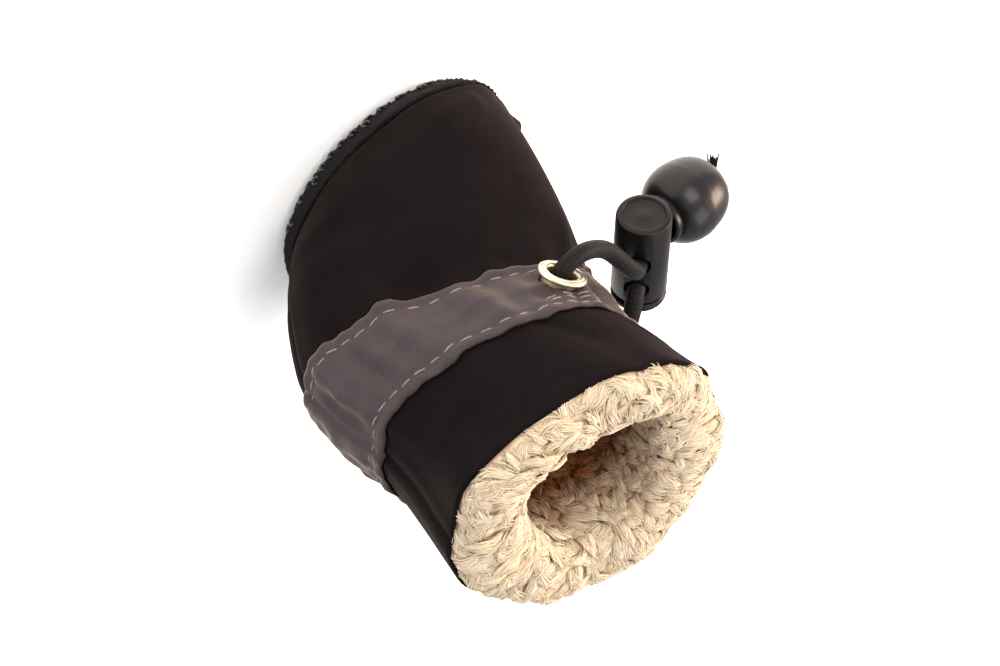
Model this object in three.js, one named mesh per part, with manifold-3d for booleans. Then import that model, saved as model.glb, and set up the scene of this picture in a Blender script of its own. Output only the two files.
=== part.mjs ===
// Winter boot for a small dog: a soft-shell upper with a deep fleece wall, a knit outsole, a
// fleece insole, a reflective drawcord band with two eyelets, and a cord lock and bead on the cord.
// Millimetres. +X points to the toe, +Y to the boot's left, +Z up. The boot stands on the floor
// z = 0, with the origin under the middle of the box around it (drawcord left out).
import * as THREE from 'three';
import { mergeVertices } from 'three/addons/utils/BufferGeometryUtils.js';
import Module from 'manifold-3d';

const wasm = await Module();
wasm.setup();

// ---- Driving dimensions -------------------------------------------------------------------
const SIDES = 44; // facets round each section of the boot
const GAP = 0.3; // clearance between two pieces that touch
const WALL = 7.5; // shell cloth plus the fleece pile behind it
const RIM_SWELL = 1.8; // how far the fleece swells above the collar's cut edge

// The last: one row per section, from the sole seam up to the collar. x, z place the section's
// middle, tilt turns its front edge up (degrees), front, back and half are its reaches to the
// toe, the heel and each side, and square is the superellipse exponent of its outline.
const LAST = [
  { at: 'seam', x: 12.6, z: 5.0, tilt: 0, front: 24.8, back: 25.0, half: 19.3, square: 2.0 },
  { at: 'foot', x: 6.1, z: 14.0, tilt: 6.5, front: 26.2, back: 25.6, half: 20.3, square: 2.2 },
  { at: 'vamp', x: -0.2, z: 25.3, tilt: 13.5, front: 25.8, back: 26.2, half: 18.8, square: 2.2 },
  { at: 'band low', x: -5.4, z: 36.0, tilt: 18.5, front: 24.4, back: 26.5, half: 16.8, square: 2.2 },
  { at: 'drawcord', x: -7.3, z: 44.4, tilt: 20, front: 22.6, back: 25.2, half: 17.8, square: 2.1 },
  { at: 'band high', x: -8.0, z: 53.0, tilt: 19.5, front: 21.7, back: 24.8, half: 20.4, square: 2.1 },
  { at: 'shaft', x: -8.1, z: 62.1, tilt: 17.2, front: 21.1, back: 26.7, half: 22.0, square: 2.1 },
  { at: 'collar', x: -7.5, z: 71.0, tilt: 14, front: 19.2, back: 30.7, half: 23.7, square: 2.1 },
];
const RINGS_PER_ROW = 3; // loft rings between two neighbouring rows
const SEAM = LAST[0];

// Outsole: rings as insets from the seam's outline, from the flat tread up to the seam.
const OUTSOLE_FLOOR = 1.8; // thickness of the knit sole with its rubber drops
const OUTSOLE_OUTER = [
  { z: 0.0, front: 6.5, rest: 4.6 },
  { z: 0.8, front: 3.8, rest: 2.5 },
  { z: 2.4, front: 1.4, rest: 0.9 },
  { z: SEAM.z - GAP, front: 0.0, rest: 0.0 },
];
const OUTSOLE_INNER = [
  { z: SEAM.z - GAP, front: 1.6, rest: 1.6 },
  { z: 3.0, front: 2.8, rest: 2.1 },
  { z: OUTSOLE_FLOOR, front: 6.0, rest: 4.2 },
];

// Insole: a fleece pad that fills the sole's dish and steps in under the upper's wall.
const INSOLE_OUTER = [
  { z: OUTSOLE_FLOOR + GAP, front: 6.6, rest: 4.8 },
  { z: 3.2, front: 3.4, rest: 2.7 },
  { z: SEAM.z - GAP, front: 2.2, rest: 2.2 },
  { z: SEAM.z - GAP, front: 8.0, rest: 8.0 },
  { z: 7.2, front: 10.6, rest: 8.4 },
  { z: 8.0, front: 12.4, rest: 9.8 },
];

// Reflective band: a cloth tunnel sewn round the shaft, from one row of the last to another.
const BAND_LOW_ROW = 3;
const BAND_HIGH_ROW = 5;
const BAND_THICK = 1.5;
const BAND_PROUD = GAP + BAND_THICK;

// Eyelets: rolled metal rings, one each side of the front.
const EYELET_ROW = 4;
const EYELET_ANGLE = 64; // degrees round from the toe
const EYELET_HOLE = 2.5;
const EYELET_BARREL = 3.0;
const EYELET_FLANGE = 4.1;
const EYELET_HEIGHT = 3.4;
const EYELET_SIDES = 24;

// Drawcord, cord lock and bead.
const CORD_RADIUS = 1.5;
const CORD_SIDES = 8;
const CORD_STEPS = 20;
const LOCK_CENTRE = new THREE.Vector3(28.9, 2.7, 43.7); // middle of its two cord holes
const LOCK_DROOP = 35; // degrees that the cord falls through the lock
const LOCK_LEAN = 5; // degrees that its closed end leans back towards the shaft
const LOCK_RADIUS = 4.6;
const LOCK_LENGTH = 17.0;
const LOCK_BORE = 3.5;
const LOCK_HOLE = 2.1;
const LOCK_HOLE_PITCH = 5.8;
const LOCK_HOLE_TO_END = 3.6; // from the lower hole's axis to the barrel's open end
const LOCK_CAP = 1.6; // thickness of its closed end
const LOCK_SIDES = 32;
const PLUNGER_RADIUS = LOCK_BORE - GAP;
const PLUNGER_OUT = 0.6; // stem showing below the barrel
const PLUNGER_IN = 12.6;
const PLUNGER_HEAD = 1.6; // thickness of its thumb disc, as wide as the barrel
const BEAD_ENTRY = new THREE.Vector3(36.8, 3.3, 40.3); // mouth of the bead's neck
const BEAD_DROOP = 4;
const BEAD_LENGTH = 13.0;
const BEAD_RADIUS = 6.9;
const BEAD_BORE = 3.5;
const BEAD_HOLE = 2.5;
const BEAD_STEP = 8.6; // where the bore narrows to the end hole
const BEAD_SIDES = 28;
const KNOT_START = 3.0;
const KNOT_END = BEAD_STEP - GAP;
const KNOT_TAIL = BEAD_LENGTH + 2.4;
const STRAND_SPREAD = CORD_RADIUS + GAP / 2; // half the strands' spacing in the bead's neck

// ---- The last as a function ----------------------------------------------------------------
const radians = THREE.MathUtils.degToRad;

/** Row of the last at a place between rows: whole numbers fall on the table's own rows. */
function rowAt(place) {
  const last = LAST.length - 1;
  const low = Math.min(Math.floor(place), last - 1);
  const rest = place - low;
  const near = [low - 1, low, low + 1, low + 2].map((i) => LAST[Math.min(Math.max(i, 0), last)]);
  const row = {};
  for (const key of ['x', 'z', 'tilt', 'front', 'back', 'half', 'square']) {
    const [a, b, c, d] = near.map((r) => r[key]);
    const bend = 2 * a - 5 * b + 4 * c - d + (-a + 3 * b - 3 * c + d) * rest;
    row[key] = 0.5 * (2 * b + (c - a) * rest + bend * rest * rest);
  }
  return row;
}

/** Signed power of a cosine or sine, which squares off a superellipse. */
function squared(value, square) {
  return Math.sign(value) * Math.abs(value) ** (2 / square);
}

/** Point on a section, moved out from its outline by front (at the toe half) and rest. */
function ringPoint(row, angle, front, rest = front, lift = 0) {
  const c = Math.cos(angle);
  const s = Math.sin(angle);
  const grow = c > 0 ? rest + (front - rest) * c * c : rest;
  const reach = (c > 0 ? row.front : row.back) + grow;
  const u = squared(c, row.square) * reach;
  const v = squared(s, row.square) * (row.half + rest);
  const tilt = radians(row.tilt);
  return new THREE.Vector3(
    row.x + u * Math.cos(tilt) - lift * Math.sin(tilt),
    v,
    row.z + u * Math.sin(tilt) + lift * Math.cos(tilt),
  );
}

function ring(row, front, rest, lift) {
  return Array.from({ length: SIDES }, (_, i) => ringPoint(row, (i / SIDES) * 2 * Math.PI, front, rest, lift));
}

/** Rings of the last, offset outwards, between two places on it. */
function lastRings(from, to, offset) {
  const count = Math.round(Math.abs(to - from) * RINGS_PER_ROW);
  return Array.from({ length: count + 1 }, (_, i) => ring(rowAt(from + ((to - from) * i) / count), offset));
}

// ---- Geometry helpers ----------------------------------------------------------------------
/** Closed skin through rings of points; the ends are capped, or joined when wrap is true. */
function loft(rings, wrap) {
  const points = rings.flat();
  const faces = [];
  const bands = wrap ? rings.length : rings.length - 1;
  for (let r = 0; r < bands; r += 1) {
    const low = r * SIDES;
    const high = ((r + 1) % rings.length) * SIDES;
    for (let i = 0; i < SIDES; i += 1) {
      const j = (i + 1) % SIDES;
      faces.push(low + i, low + j, high + j, low + i, high + j, high + i);
    }
  }
  if (!wrap) {
    for (const [start, flip] of [[0, true], [(rings.length - 1) * SIDES, false]]) {
      const middle = points.slice(start, start + SIDES).reduce((sum, p) => sum.add(p), new THREE.Vector3());
      points.push(middle.divideScalar(SIDES));
      for (let i = 0; i < SIDES; i += 1) {
        const pair = [start + i, start + ((i + 1) % SIDES)];
        faces.push(...(flip ? pair.reverse() : pair), points.length - 1);
      }
    }
  }
  const geometry = new THREE.BufferGeometry().setFromPoints(points);
  geometry.setIndex(faces);
  return geometry;
}

/** Turned solid from [radius, height] pairs; the profile closes on itself or on the axis. */
function turned(profile, sides) {
  return new THREE.LatheGeometry(profile.map(([r, h]) => new THREE.Vector2(r, h)), sides);
}

function toManifold(geometry) {
  const bare = geometry.clone();
  bare.deleteAttribute('normal');
  bare.deleteAttribute('uv');
  const merged = mergeVertices(bare, 1e-4);
  const mesh = new wasm.Mesh({
    numProp: 3,
    vertProperties: new Float32Array(merged.getAttribute('position').array),
    triVerts: new Uint32Array(merged.index.array),
  });
  return new wasm.Manifold(mesh);
}

function fromManifold(solid) {
  const { vertProperties, triVerts } = solid.getMesh();
  const geometry = new THREE.BufferGeometry();
  geometry.setAttribute('position', new THREE.BufferAttribute(vertProperties, 3));
  geometry.setIndex(new THREE.BufferAttribute(triVerts, 1));
  return geometry;
}

/** The geometry with each cutter taken out of it. */
function cut(geometry, cutters) {
  return fromManifold(cutters.reduce((solid, cutter) => solid.subtract(toManifold(cutter)), toManifold(geometry)));
}

function addMesh(parent, name, geometry, look) {
  const material = new THREE.MeshStandardMaterial({ metalness: 0, roughness: 0.8, ...look });
  geometry.computeVertexNormals();
  const mesh = new THREE.Mesh(geometry, material);
  mesh.name = name;
  parent.add(mesh);
  return mesh;
}

// ---- Sole, insole and upper ----------------------------------------------------------------
function flatRings(rows) {
  return rows.map(({ z, front, rest }) => ring({ ...SEAM, z }, -front, -rest));
}

function outsoleGeometry() {
  return loft([...flatRings(OUTSOLE_OUTER), ...flatRings(OUTSOLE_INNER)], false);
}

function insoleGeometry() {
  return loft(flatRings(INSOLE_OUTER), false);
}

/** Hollow upper: out over the shell, round the swollen fleece rim, and back down the lining. */
function upperGeometry() {
  const top = LAST.length - 1;
  const rim = [
    ring(LAST[top], -WALL * 0.3, -WALL * 0.3, RIM_SWELL),
    ring(LAST[top], -WALL * 0.7, -WALL * 0.7, RIM_SWELL),
  ];
  return loft([...lastRings(0, top, 0), ...rim, ...lastRings(top, 0, -WALL)], true);
}

// ---- Band and eyelets ----------------------------------------------------------------------
/** Place on the drawcord's line at an angle round from the toe, and the shell's normal there. */
function eyeletSeat(angle) {
  const step = 0.01;
  const here = ringPoint(rowAt(EYELET_ROW), angle, 0);
  const round = ringPoint(rowAt(EYELET_ROW), angle + step, 0).sub(here);
  const along = ringPoint(rowAt(EYELET_ROW + step), angle, 0).sub(here);
  return { here, normal: round.cross(along).normalize() };
}

function standOn(object, seat) {
  object.position.copy(seat.here);
  object.quaternion.setFromUnitVectors(new THREE.Vector3(0, 1, 0), seat.normal);
  object.updateMatrix();
  return object;
}

/** The band: the last's own skin, thickened, with a hole for each eyelet's barrel. */
function bandGeometry(seats) {
  const skin = [
    ...lastRings(BAND_LOW_ROW, BAND_HIGH_ROW, BAND_PROUD),
    ...lastRings(BAND_HIGH_ROW, BAND_LOW_ROW, GAP),
  ];
  const cutters = seats.map((seat) => {
    const radius = EYELET_BARREL + GAP;
    const drill = new THREE.CylinderGeometry(radius, radius, 4 * EYELET_FLANGE, EYELET_SIDES);
    return drill.applyMatrix4(standOn(new THREE.Object3D(), seat).matrix);
  });
  return cut(loft(skin, true), cutters);
}

function eyeletGeometry() {
  const flangeFoot = BAND_PROUD + 2 * GAP;
  const barrelFoot = 2 * GAP;
  const bevel = 0.35;
  return turned([
    [EYELET_HOLE, barrelFoot],
    [EYELET_BARREL, barrelFoot],
    [EYELET_BARREL, flangeFoot],
    [EYELET_FLANGE - bevel, flangeFoot],
    [EYELET_FLANGE, flangeFoot + bevel],
    [EYELET_FLANGE - bevel, EYELET_HEIGHT - bevel],
    [EYELET_BARREL + bevel, EYELET_HEIGHT],
    [EYELET_HOLE + bevel, EYELET_HEIGHT],
    [EYELET_HOLE, EYELET_HEIGHT - bevel],
    [EYELET_HOLE, barrelFoot],
  ], EYELET_SIDES);
}

// ---- Drawcord ------------------------------------------------------------------------------
/** Unit vector towards the toe that falls by the given angle. */
function drooping(degrees) {
  return new THREE.Vector3(Math.cos(radians(degrees)), 0, -Math.sin(radians(degrees)));
}

/** Turn of the lock: the cord falls through it, and its closed end leans back. */
const LOCK_TURN = new THREE.Euler(0, radians(LOCK_DROOP), radians(LOCK_LEAN), 'ZYX');

/** Route of one free strand: out of its eyelet, round to the lock and into the bead's neck. */
function strandRoute(seat, side) {
  const out = (distance) => seat.here.clone().addScaledVector(seat.normal, distance);
  const locked = (x, y, z) => new THREE.Vector3(x, y, z).applyEuler(LOCK_TURN).add(LOCK_CENTRE);
  const hole = (side * LOCK_HOLE_PITCH) / 2;
  const neck = BEAD_ENTRY.clone().add(new THREE.Vector3(0, side * STRAND_SPREAD, 0));
  const into = drooping(BEAD_DROOP);
  return new THREE.CatmullRomCurve3([
    out(0.9),
    out(3.8),
    out(4.6).add(new THREE.Vector3(3.4, 0, 0)),
    out(3.4).add(new THREE.Vector3(10.5, side * -2.6, -0.6)),
    locked(-9.0, hole + side * 4.0, -0.6),
    locked(-4.9, hole, 0),
    locked(0, hole, 0),
    locked(4.8, hole, 0),
    neck.clone(),
    neck.clone().addScaledVector(into, KNOT_START - GAP),
  ], false, 'centripetal');
}

function strandGeometry(route) {
  const section = new THREE.Shape();
  for (let i = 0; i < CORD_SIDES; i += 1) {
    const angle = (i / CORD_SIDES) * 2 * Math.PI;
    const corner = [CORD_RADIUS * Math.cos(angle), CORD_RADIUS * Math.sin(angle)];
    if (i === 0) {
      section.moveTo(...corner);
    } else {
      section.lineTo(...corner);
    }
  }
  return new THREE.ExtrudeGeometry(section, { steps: CORD_STEPS, extrudePath: route, bevelEnabled: false });
}

/** Two holes across a turned piece whose axis is Y, at the heights of the two strands. */
function crossHoles() {
  return [-1, 1].map((side) => {
    const drill = new THREE.CylinderGeometry(LOCK_HOLE, LOCK_HOLE, 4 * LOCK_RADIUS, CORD_SIDES * 2);
    return drill.rotateZ(Math.PI / 2).translate(0, (side * LOCK_HOLE_PITCH) / 2, 0);
  });
}

/** Barrel of the lock, bored from its lower end, with a sunk disc in its closed end. */
function lockBarrelGeometry() {
  const foot = -LOCK_HOLE_PITCH / 2 - LOCK_HOLE_TO_END;
  const head = foot + LOCK_LENGTH;
  const edge = 0.5;
  const sunk = 0.4;
  return cut(turned([
    [0, head - LOCK_CAP],
    [LOCK_BORE, head - LOCK_CAP],
    [LOCK_BORE, foot],
    [LOCK_RADIUS - edge, foot],
    [LOCK_RADIUS, foot + edge],
    [LOCK_RADIUS, head - edge],
    [LOCK_RADIUS - edge, head],
    [LOCK_BORE, head],
    [LOCK_BORE - edge, head - sunk],
    [0, head - sunk],
  ], LOCK_SIDES), crossHoles());
}

/** Plunger: a stem in the barrel's bore, and a thumb disc below the barrel. */
function lockPlungerGeometry() {
  const foot = -LOCK_HOLE_PITCH / 2 - LOCK_HOLE_TO_END;
  const head = foot - PLUNGER_OUT;
  const edge = 0.5;
  return cut(turned([
    [0, head - PLUNGER_HEAD],
    [LOCK_RADIUS - edge, head - PLUNGER_HEAD],
    [LOCK_RADIUS, head - PLUNGER_HEAD + edge],
    [LOCK_RADIUS, head],
    [PLUNGER_RADIUS, head],
    [PLUNGER_RADIUS, foot + PLUNGER_IN],
    [0, foot + PLUNGER_IN],
  ], LOCK_SIDES), crossHoles());
}

/** Bead: a ball with a short cone neck where the strands go in and a flat end with a hole. */
function beadGeometry() {
  const flat = 3.9;
  const neck = 4.3;
  const belly = 6.4;
  const arc = 7;
  const ball = [];
  for (let i = 0; i <= arc; i += 1) {
    const height = 2.2 + ((BEAD_LENGTH - 2.2) * i) / arc;
    const span = height < belly ? belly - 1.0 : 1.0 * (BEAD_LENGTH - belly);
    const end = height < belly ? neck + 0.5 : flat;
    const share = Math.min(Math.abs(height - belly) / span, 1);
    ball.push([end + (BEAD_RADIUS - end) * Math.sqrt(1 - share * share), height]);
  }
  return turned([
    [BEAD_BORE, 0],
    [neck, 0],
    ...ball,
    [BEAD_HOLE, BEAD_LENGTH],
    [BEAD_HOLE, BEAD_STEP],
    [BEAD_BORE, BEAD_STEP],
    [BEAD_BORE, 0],
  ], BEAD_SIDES);
}

/** The strands' knot inside the bead, with their joined tail standing out of the end hole. */
function knotGeometry() {
  const body = BEAD_BORE - GAP - 0.1;
  return turned([
    [0, KNOT_START],
    [body * 0.7, KNOT_START],
    [body, KNOT_START + 1],
    [body, KNOT_END - 1],
    [body * 0.7, KNOT_END],
    [CORD_RADIUS, KNOT_END],
    [CORD_RADIUS, KNOT_TAIL],
    [0, KNOT_TAIL],
  ], BEAD_SIDES / 2);
}

// ---- The boot ------------------------------------------------------------------------------
const SHELL_BLACK = { color: 0x1e1819, roughness: 0.75 };
const KNIT_BLACK = { color: 0x141213, roughness: 0.9 };
const FLEECE = { color: 0xe5cfae, roughness: 0.95 };
const REFLECTIVE_GREY = { color: 0x5a5053, roughness: 0.55 };
const PALE_NICKEL = { color: 0xe0d2b0, roughness: 0.25, metalness: 1 };
const CORD_BLACK = { color: 0x121112, roughness: 0.85 };
const LOCK_BLACK = { color: 0x1b1817, roughness: 0.6 };
const BEAD_BLACK = { color: 0x0c0b0c, roughness: 0.15 };

const boot = new THREE.Group();
addMesh(boot, 'outsole', outsoleGeometry(), KNIT_BLACK);
addMesh(boot, 'insole', insoleGeometry(), FLEECE);
addMesh(boot, 'upper', upperGeometry(), SHELL_BLACK);

const sides = [
  { name: 'left', sign: 1, seat: eyeletSeat(radians(EYELET_ANGLE)) },
  { name: 'right', sign: -1, seat: eyeletSeat(radians(-EYELET_ANGLE)) },
];
addMesh(boot, 'reflective_band', bandGeometry(sides.map(({ seat }) => seat)), REFLECTIVE_GREY);
for (const { name, sign, seat } of sides) {
  standOn(addMesh(boot, `eyelet_${name}`, eyeletGeometry(), PALE_NICKEL), seat);
  addMesh(boot, `drawcord_${name}`, strandGeometry(strandRoute(seat, sign)), CORD_BLACK);
}

const lock = new THREE.Group();
lock.position.copy(LOCK_CENTRE);
lock.rotation.copy(LOCK_TURN);
addMesh(lock, 'cord_lock_barrel', lockBarrelGeometry(), LOCK_BLACK);
addMesh(lock, 'cord_lock_plunger', lockPlungerGeometry(), LOCK_BLACK);
boot.add(lock);

const bead = new THREE.Group();
bead.position.copy(BEAD_ENTRY);
bead.quaternion.setFromUnitVectors(new THREE.Vector3(0, 1, 0), drooping(BEAD_DROOP));
addMesh(bead, 'cord_end_bead', beadGeometry(), BEAD_BLACK);
addMesh(bead, 'drawcord_knot', knotGeometry(), CORD_BLACK);
boot.add(bead);

export default boot;
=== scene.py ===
"""Looks of a small dog's winter boot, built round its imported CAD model.

The shell is soft matt cloth, the wall behind it is deep curly fleece, the sole is ribbed knit with
rubber drops, and a reflective band carries a drawcord with two eyelets, a cord lock and a bead.
Sizes in the classes are millimetres and become metres when a mesh is written.
"""

import logging
import math
from dataclasses import dataclass, field
from enum import Enum

import bmesh
import bpy
import numpy as np
from mathutils import Matrix, Vector


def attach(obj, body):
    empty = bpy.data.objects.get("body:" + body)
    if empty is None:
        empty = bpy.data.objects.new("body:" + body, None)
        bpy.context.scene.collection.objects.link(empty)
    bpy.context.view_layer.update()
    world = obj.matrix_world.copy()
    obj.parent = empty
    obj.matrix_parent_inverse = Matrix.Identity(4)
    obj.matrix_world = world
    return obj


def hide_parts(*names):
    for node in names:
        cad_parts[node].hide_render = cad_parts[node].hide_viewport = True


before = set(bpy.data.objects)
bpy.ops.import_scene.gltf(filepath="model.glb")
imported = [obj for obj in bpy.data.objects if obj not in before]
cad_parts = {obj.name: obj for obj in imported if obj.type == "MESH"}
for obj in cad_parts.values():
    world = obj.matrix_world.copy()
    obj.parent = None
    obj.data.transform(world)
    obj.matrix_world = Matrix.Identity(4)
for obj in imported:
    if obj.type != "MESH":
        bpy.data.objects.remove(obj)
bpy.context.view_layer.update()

LOG = logging.getLogger("boot")
MM = 0.001
BODY = "root"
Array = np.ndarray
Piece = bpy.types.Object
Material = bpy.types.Material
Tree = bpy.types.NodeTree
Node = bpy.types.Node
Socket = bpy.types.NodeSocket


class Side(Enum):
    """The two sides of the boot; the value is the sign of Y."""

    LEFT = 1
    RIGHT = -1


# ---- Arithmetic ----------------------------------------------------------------------------------
def full_turn(count: int) -> Array:
    """Evenly spaced angles round a full turn, without its end."""
    return np.linspace(0, 2 * math.pi, count, endpoint=False)


def wrapped(angle: Array) -> Array:
    """The same angle between minus and plus half a turn."""
    return np.mod(angle + math.pi, 2 * math.pi) - math.pi


def bell(away: Array, width: float) -> Array:
    """1 in the middle, fading to nothing over about twice the width."""
    return np.exp(-((away / width) ** 2))


def unit(vectors: Array) -> Array:
    """The same directions, with length 1."""
    return vectors / (np.linalg.norm(vectors, axis=-1, keepdims=True) + 1e-9)


def shrunk(ring: Array, share: float) -> Array:
    """A ring of points drawn in towards its own middle."""
    heart = ring.mean(axis=1, keepdims=True)
    return heart + (ring - heart) * share


# ---- The last ------------------------------------------------------------------------------------
@dataclass(frozen=True)
class Section:
    """One section of the last: its middle, tilt, reaches and outline exponent."""

    x: float
    z: float
    tilt: float
    front: float
    back: float
    half: float
    square: float


SEAM, FOOT, VAMP, BAND_LOW, DRAWCORD, BAND_HIGH, SHAFT, COLLAR = range(8)
SECTIONS = (
    #       x     z     tilt  front back  half  square
    Section(12.6, 5.0, 0.0, 24.8, 25.0, 19.3, 2.0),  # seam
    Section(6.1, 14.0, 6.5, 26.2, 25.6, 20.3, 2.2),  # foot
    Section(-0.2, 25.3, 13.5, 25.8, 26.2, 18.8, 2.2),  # vamp
    Section(-5.4, 36.0, 18.5, 24.4, 26.5, 16.8, 2.2),  # band, low edge
    Section(-7.3, 44.4, 20.0, 22.6, 25.2, 17.8, 2.1),  # drawcord
    Section(-8.0, 53.0, 19.5, 21.7, 24.8, 20.4, 2.1),  # band, high edge
    Section(-8.1, 62.1, 17.2, 21.1, 26.7, 22.0, 2.1),  # shaft
    Section(-7.5, 71.0, 14.0, 19.2, 30.7, 23.7, 2.1),  # collar
)
ROUND = 21.0  # millimetres of cloth for one radian round the boot
RISE = 9.5  # millimetres of cloth from one section to the next
SEAM_REACH = 20.0  # millimetres from the boot's middle line to its side, for the seams


class Last:
    """The boot's form, as a function of place (between sections) and angle round from the toe."""

    def __init__(self, sections: tuple[Section, ...]) -> None:
        """Keeps the sections as rows of numbers."""
        self.table = np.array([[s.x, s.z, s.tilt, s.front, s.back, s.half, s.square] for s in sections])

    def rows(self, place: Array) -> Array:
        """Sections at any places, smoothed between the table's own rows.

        Args:
            place: Places on the last, where whole numbers are the table's rows.

        Returns:
            One row of seven values for each place.
        """
        last = len(self.table) - 1
        place = np.asarray(place, float)
        low = np.clip(np.floor(place), 0, last - 1).astype(int)
        rest = (place - low)[..., None]
        a, b, c, d = (self.table[np.clip(low + step, 0, last)] for step in (-1, 0, 1, 2))
        bend = 2 * a - 5 * b + 4 * c - d + (-a + 3 * b - 3 * c + d) * rest
        return 0.5 * (2 * b + (c - a) * rest + bend * rest**2)

    def skin(
        self, place: Array, angle: Array, out: Array = 0.0, lift: Array = 0.0, front: Array | None = None
    ) -> Array:
        """Points on the last, moved off its surface.

        Args:
            place: Places on the last.
            angle: Angles round from the toe, in radians.
            out: How far the points stand outside the surface.
            lift: How far they stand above their section's plane.
            front: How far they stand out at the toe, where that differs.

        Returns:
            Points in millimetres, with x, y and z last.
        """
        place, angle, out, lift = np.broadcast_arrays(place, angle, out, lift)
        x, z, tilt, toe, heel, half, square = np.moveaxis(self.rows(place), -1, 0)
        c, s = np.cos(angle), np.sin(angle)
        grow = out if front is None else np.where(c > 0, out + (front - out) * c**2, out)
        reach = np.where(c > 0, toe, heel) + grow
        u = np.sign(c) * np.abs(c) ** (2 / square) * reach
        v = np.sign(s) * np.abs(s) ** (2 / square) * (half + out)
        tilt = np.radians(tilt)
        return np.stack(
            [x + u * np.cos(tilt) - lift * np.sin(tilt), v, z + u * np.sin(tilt) + lift * np.cos(tilt)],
            axis=-1,
        )

    def normal(self, place: float, angle: float) -> Vector:
        """Outward direction of the surface at one place.

        Args:
            place: Place on the last.
            angle: Angle round from the toe, in radians.

        Returns:
            A unit vector.
        """
        step = 0.01
        here, round_, along = self.skin(
            np.array([place, place, place + step]), np.array([angle, angle + step, angle])
        )
        return Vector(np.cross(round_ - here, along - here)).normalized()


# ---- Meshes --------------------------------------------------------------------------------------
def finished(piece: Piece, slot: str, material: Material, *nodes: str) -> Piece:
    """Dresses a piece, puts it on the body and hides the CAD nodes that it replaces.

    Args:
        piece: The finished mesh object.
        slot: The material slot's name; not used.
        material: What the piece is made of.
        nodes: CAD nodes that it replaces.

    Returns:
        The same piece.
    """
    piece.data.materials.clear()
    piece.data.materials.append(material)
    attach(piece, BODY)
    if nodes:
        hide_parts(*nodes)
    LOG.info("%s: %d faces, %s", piece.name, len(piece.data.polygons), material.name)
    return piece


def write_mesh(name: str, points: Array, faces: Array, uv: Array | None = None) -> Piece:
    """Makes an object from arrays, shaded smooth.

    Args:
        name: The piece's name.
        points: Vertices in millimetres.
        faces: Rows of vertex numbers, all three or all four wide.
        uv: One pair in millimetres for each corner of each face.

    Returns:
        The new object, in metres, at the origin.
    """
    mesh = bpy.data.meshes.new(name)
    count, sides = faces.shape
    mesh.vertices.add(len(points))
    mesh.vertices.foreach_set("co", (points * MM).ravel())
    mesh.loops.add(count * sides)
    mesh.loops.foreach_set("vertex_index", faces.ravel().astype(np.int32))
    mesh.polygons.add(count)
    mesh.polygons.foreach_set("loop_start", np.arange(0, count * sides, sides, dtype=np.int32))
    if uv is not None:
        layer = mesh.uv_layers.new(name="cloth")
        layer.data.foreach_set("uv", (uv * MM).ravel())
    mesh.update(calc_edges=True)
    mesh.validate()
    mesh.shade_smooth()
    piece = bpy.data.objects.new(name, mesh)
    bpy.context.scene.collection.objects.link(piece)
    return piece


def grid_faces(rows: int, columns: int, wrap_rows: bool) -> tuple[Array, Array]:
    """Quads of a grid that is joined round its columns, and where each corner lies in it.

    Args:
        rows: Rings of points.
        columns: Points in a ring.
        wrap_rows: Whether the last ring joins the first.

    Returns:
        Faces, and the unwrapped (column, row) of each corner.
    """
    count = rows if wrap_rows else rows - 1
    i, j = np.meshgrid(np.arange(count), np.arange(columns), indexing="ij")
    i, j = i.ravel(), j.ravel()
    corners_i = np.stack([i, i, i + 1, i + 1], axis=-1)
    corners_j = np.stack([j, j + 1, j + 1, j], axis=-1)
    faces = (corners_i % rows) * columns + corners_j % columns
    return faces, np.stack([corners_j, corners_i], axis=-1)


def loft(name: str, rings: Array, wrap: bool, scale: tuple[float, float]) -> Piece:
    """Closed skin through rings of points; the ends are closed by a fan unless the rings wrap.

    Args:
        name: The piece's name.
        rings: Points in millimetres, by ring and then by place in the ring.
        wrap: Whether the last ring joins the first.
        scale: Millimetres of cloth for one step round and one step along.

    Returns:
        The new object.
    """
    rows, columns = rings.shape[:2]
    faces, corners = grid_faces(rows, columns, wrap)
    piece = write_mesh(name, rings.reshape(-1, 3), faces, corners.reshape(-1, 2) * np.array(scale))
    if not wrap:
        mesh = bmesh.new()
        mesh.from_mesh(piece.data)
        ends = bmesh.ops.holes_fill(mesh, edges=[e for e in mesh.edges if e.is_boundary])
        bmesh.ops.poke(mesh, faces=ends["faces"])
        bmesh.ops.recalc_face_normals(mesh, faces=mesh.faces)
        mesh.to_mesh(piece.data)
        mesh.free()
        piece.data.shade_smooth()
    return piece


def tube_faces(rows: int, sides: int) -> Array:
    """Quads of a tube closed at both ends, for an even number of sides.

    Args:
        rows: Rings of the tube.
        sides: Points in a ring.

    Returns:
        Faces, as rows of four vertex numbers.
    """
    walls, _ = grid_faces(rows, sides, False)
    fan = np.array([(0, k, k + 1, k + 2) for k in range(1, sides - 1, 2)])
    return np.concatenate([walls, fan[:, ::-1], fan + (rows - 1) * sides])


def tubes(name: str, rings: Array, step: tuple[float, float] = (0.3, 0.6)) -> Piece:
    """Many closed tubes in one mesh.

    Args:
        name: The piece's name.
        rings: Points in millimetres, by tube, ring and side.
        step: Millimetres of cloth map for one side and one ring.

    Returns:
        The new object.
    """
    count, rows, sides = rings.shape[:3]
    one = tube_faces(rows, sides)
    faces = one[None] + (np.arange(count) * rows * sides)[:, None, None]
    places = np.stack([one % sides, one // sides], axis=-1) * np.array(step)
    uv = places[None] + np.arange(count)[:, None, None, None] * np.array([3.7, 7.3])
    return write_mesh(name, rings.reshape(-1, 3), faces.reshape(-1, 4), uv.reshape(-1, 2))


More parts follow.
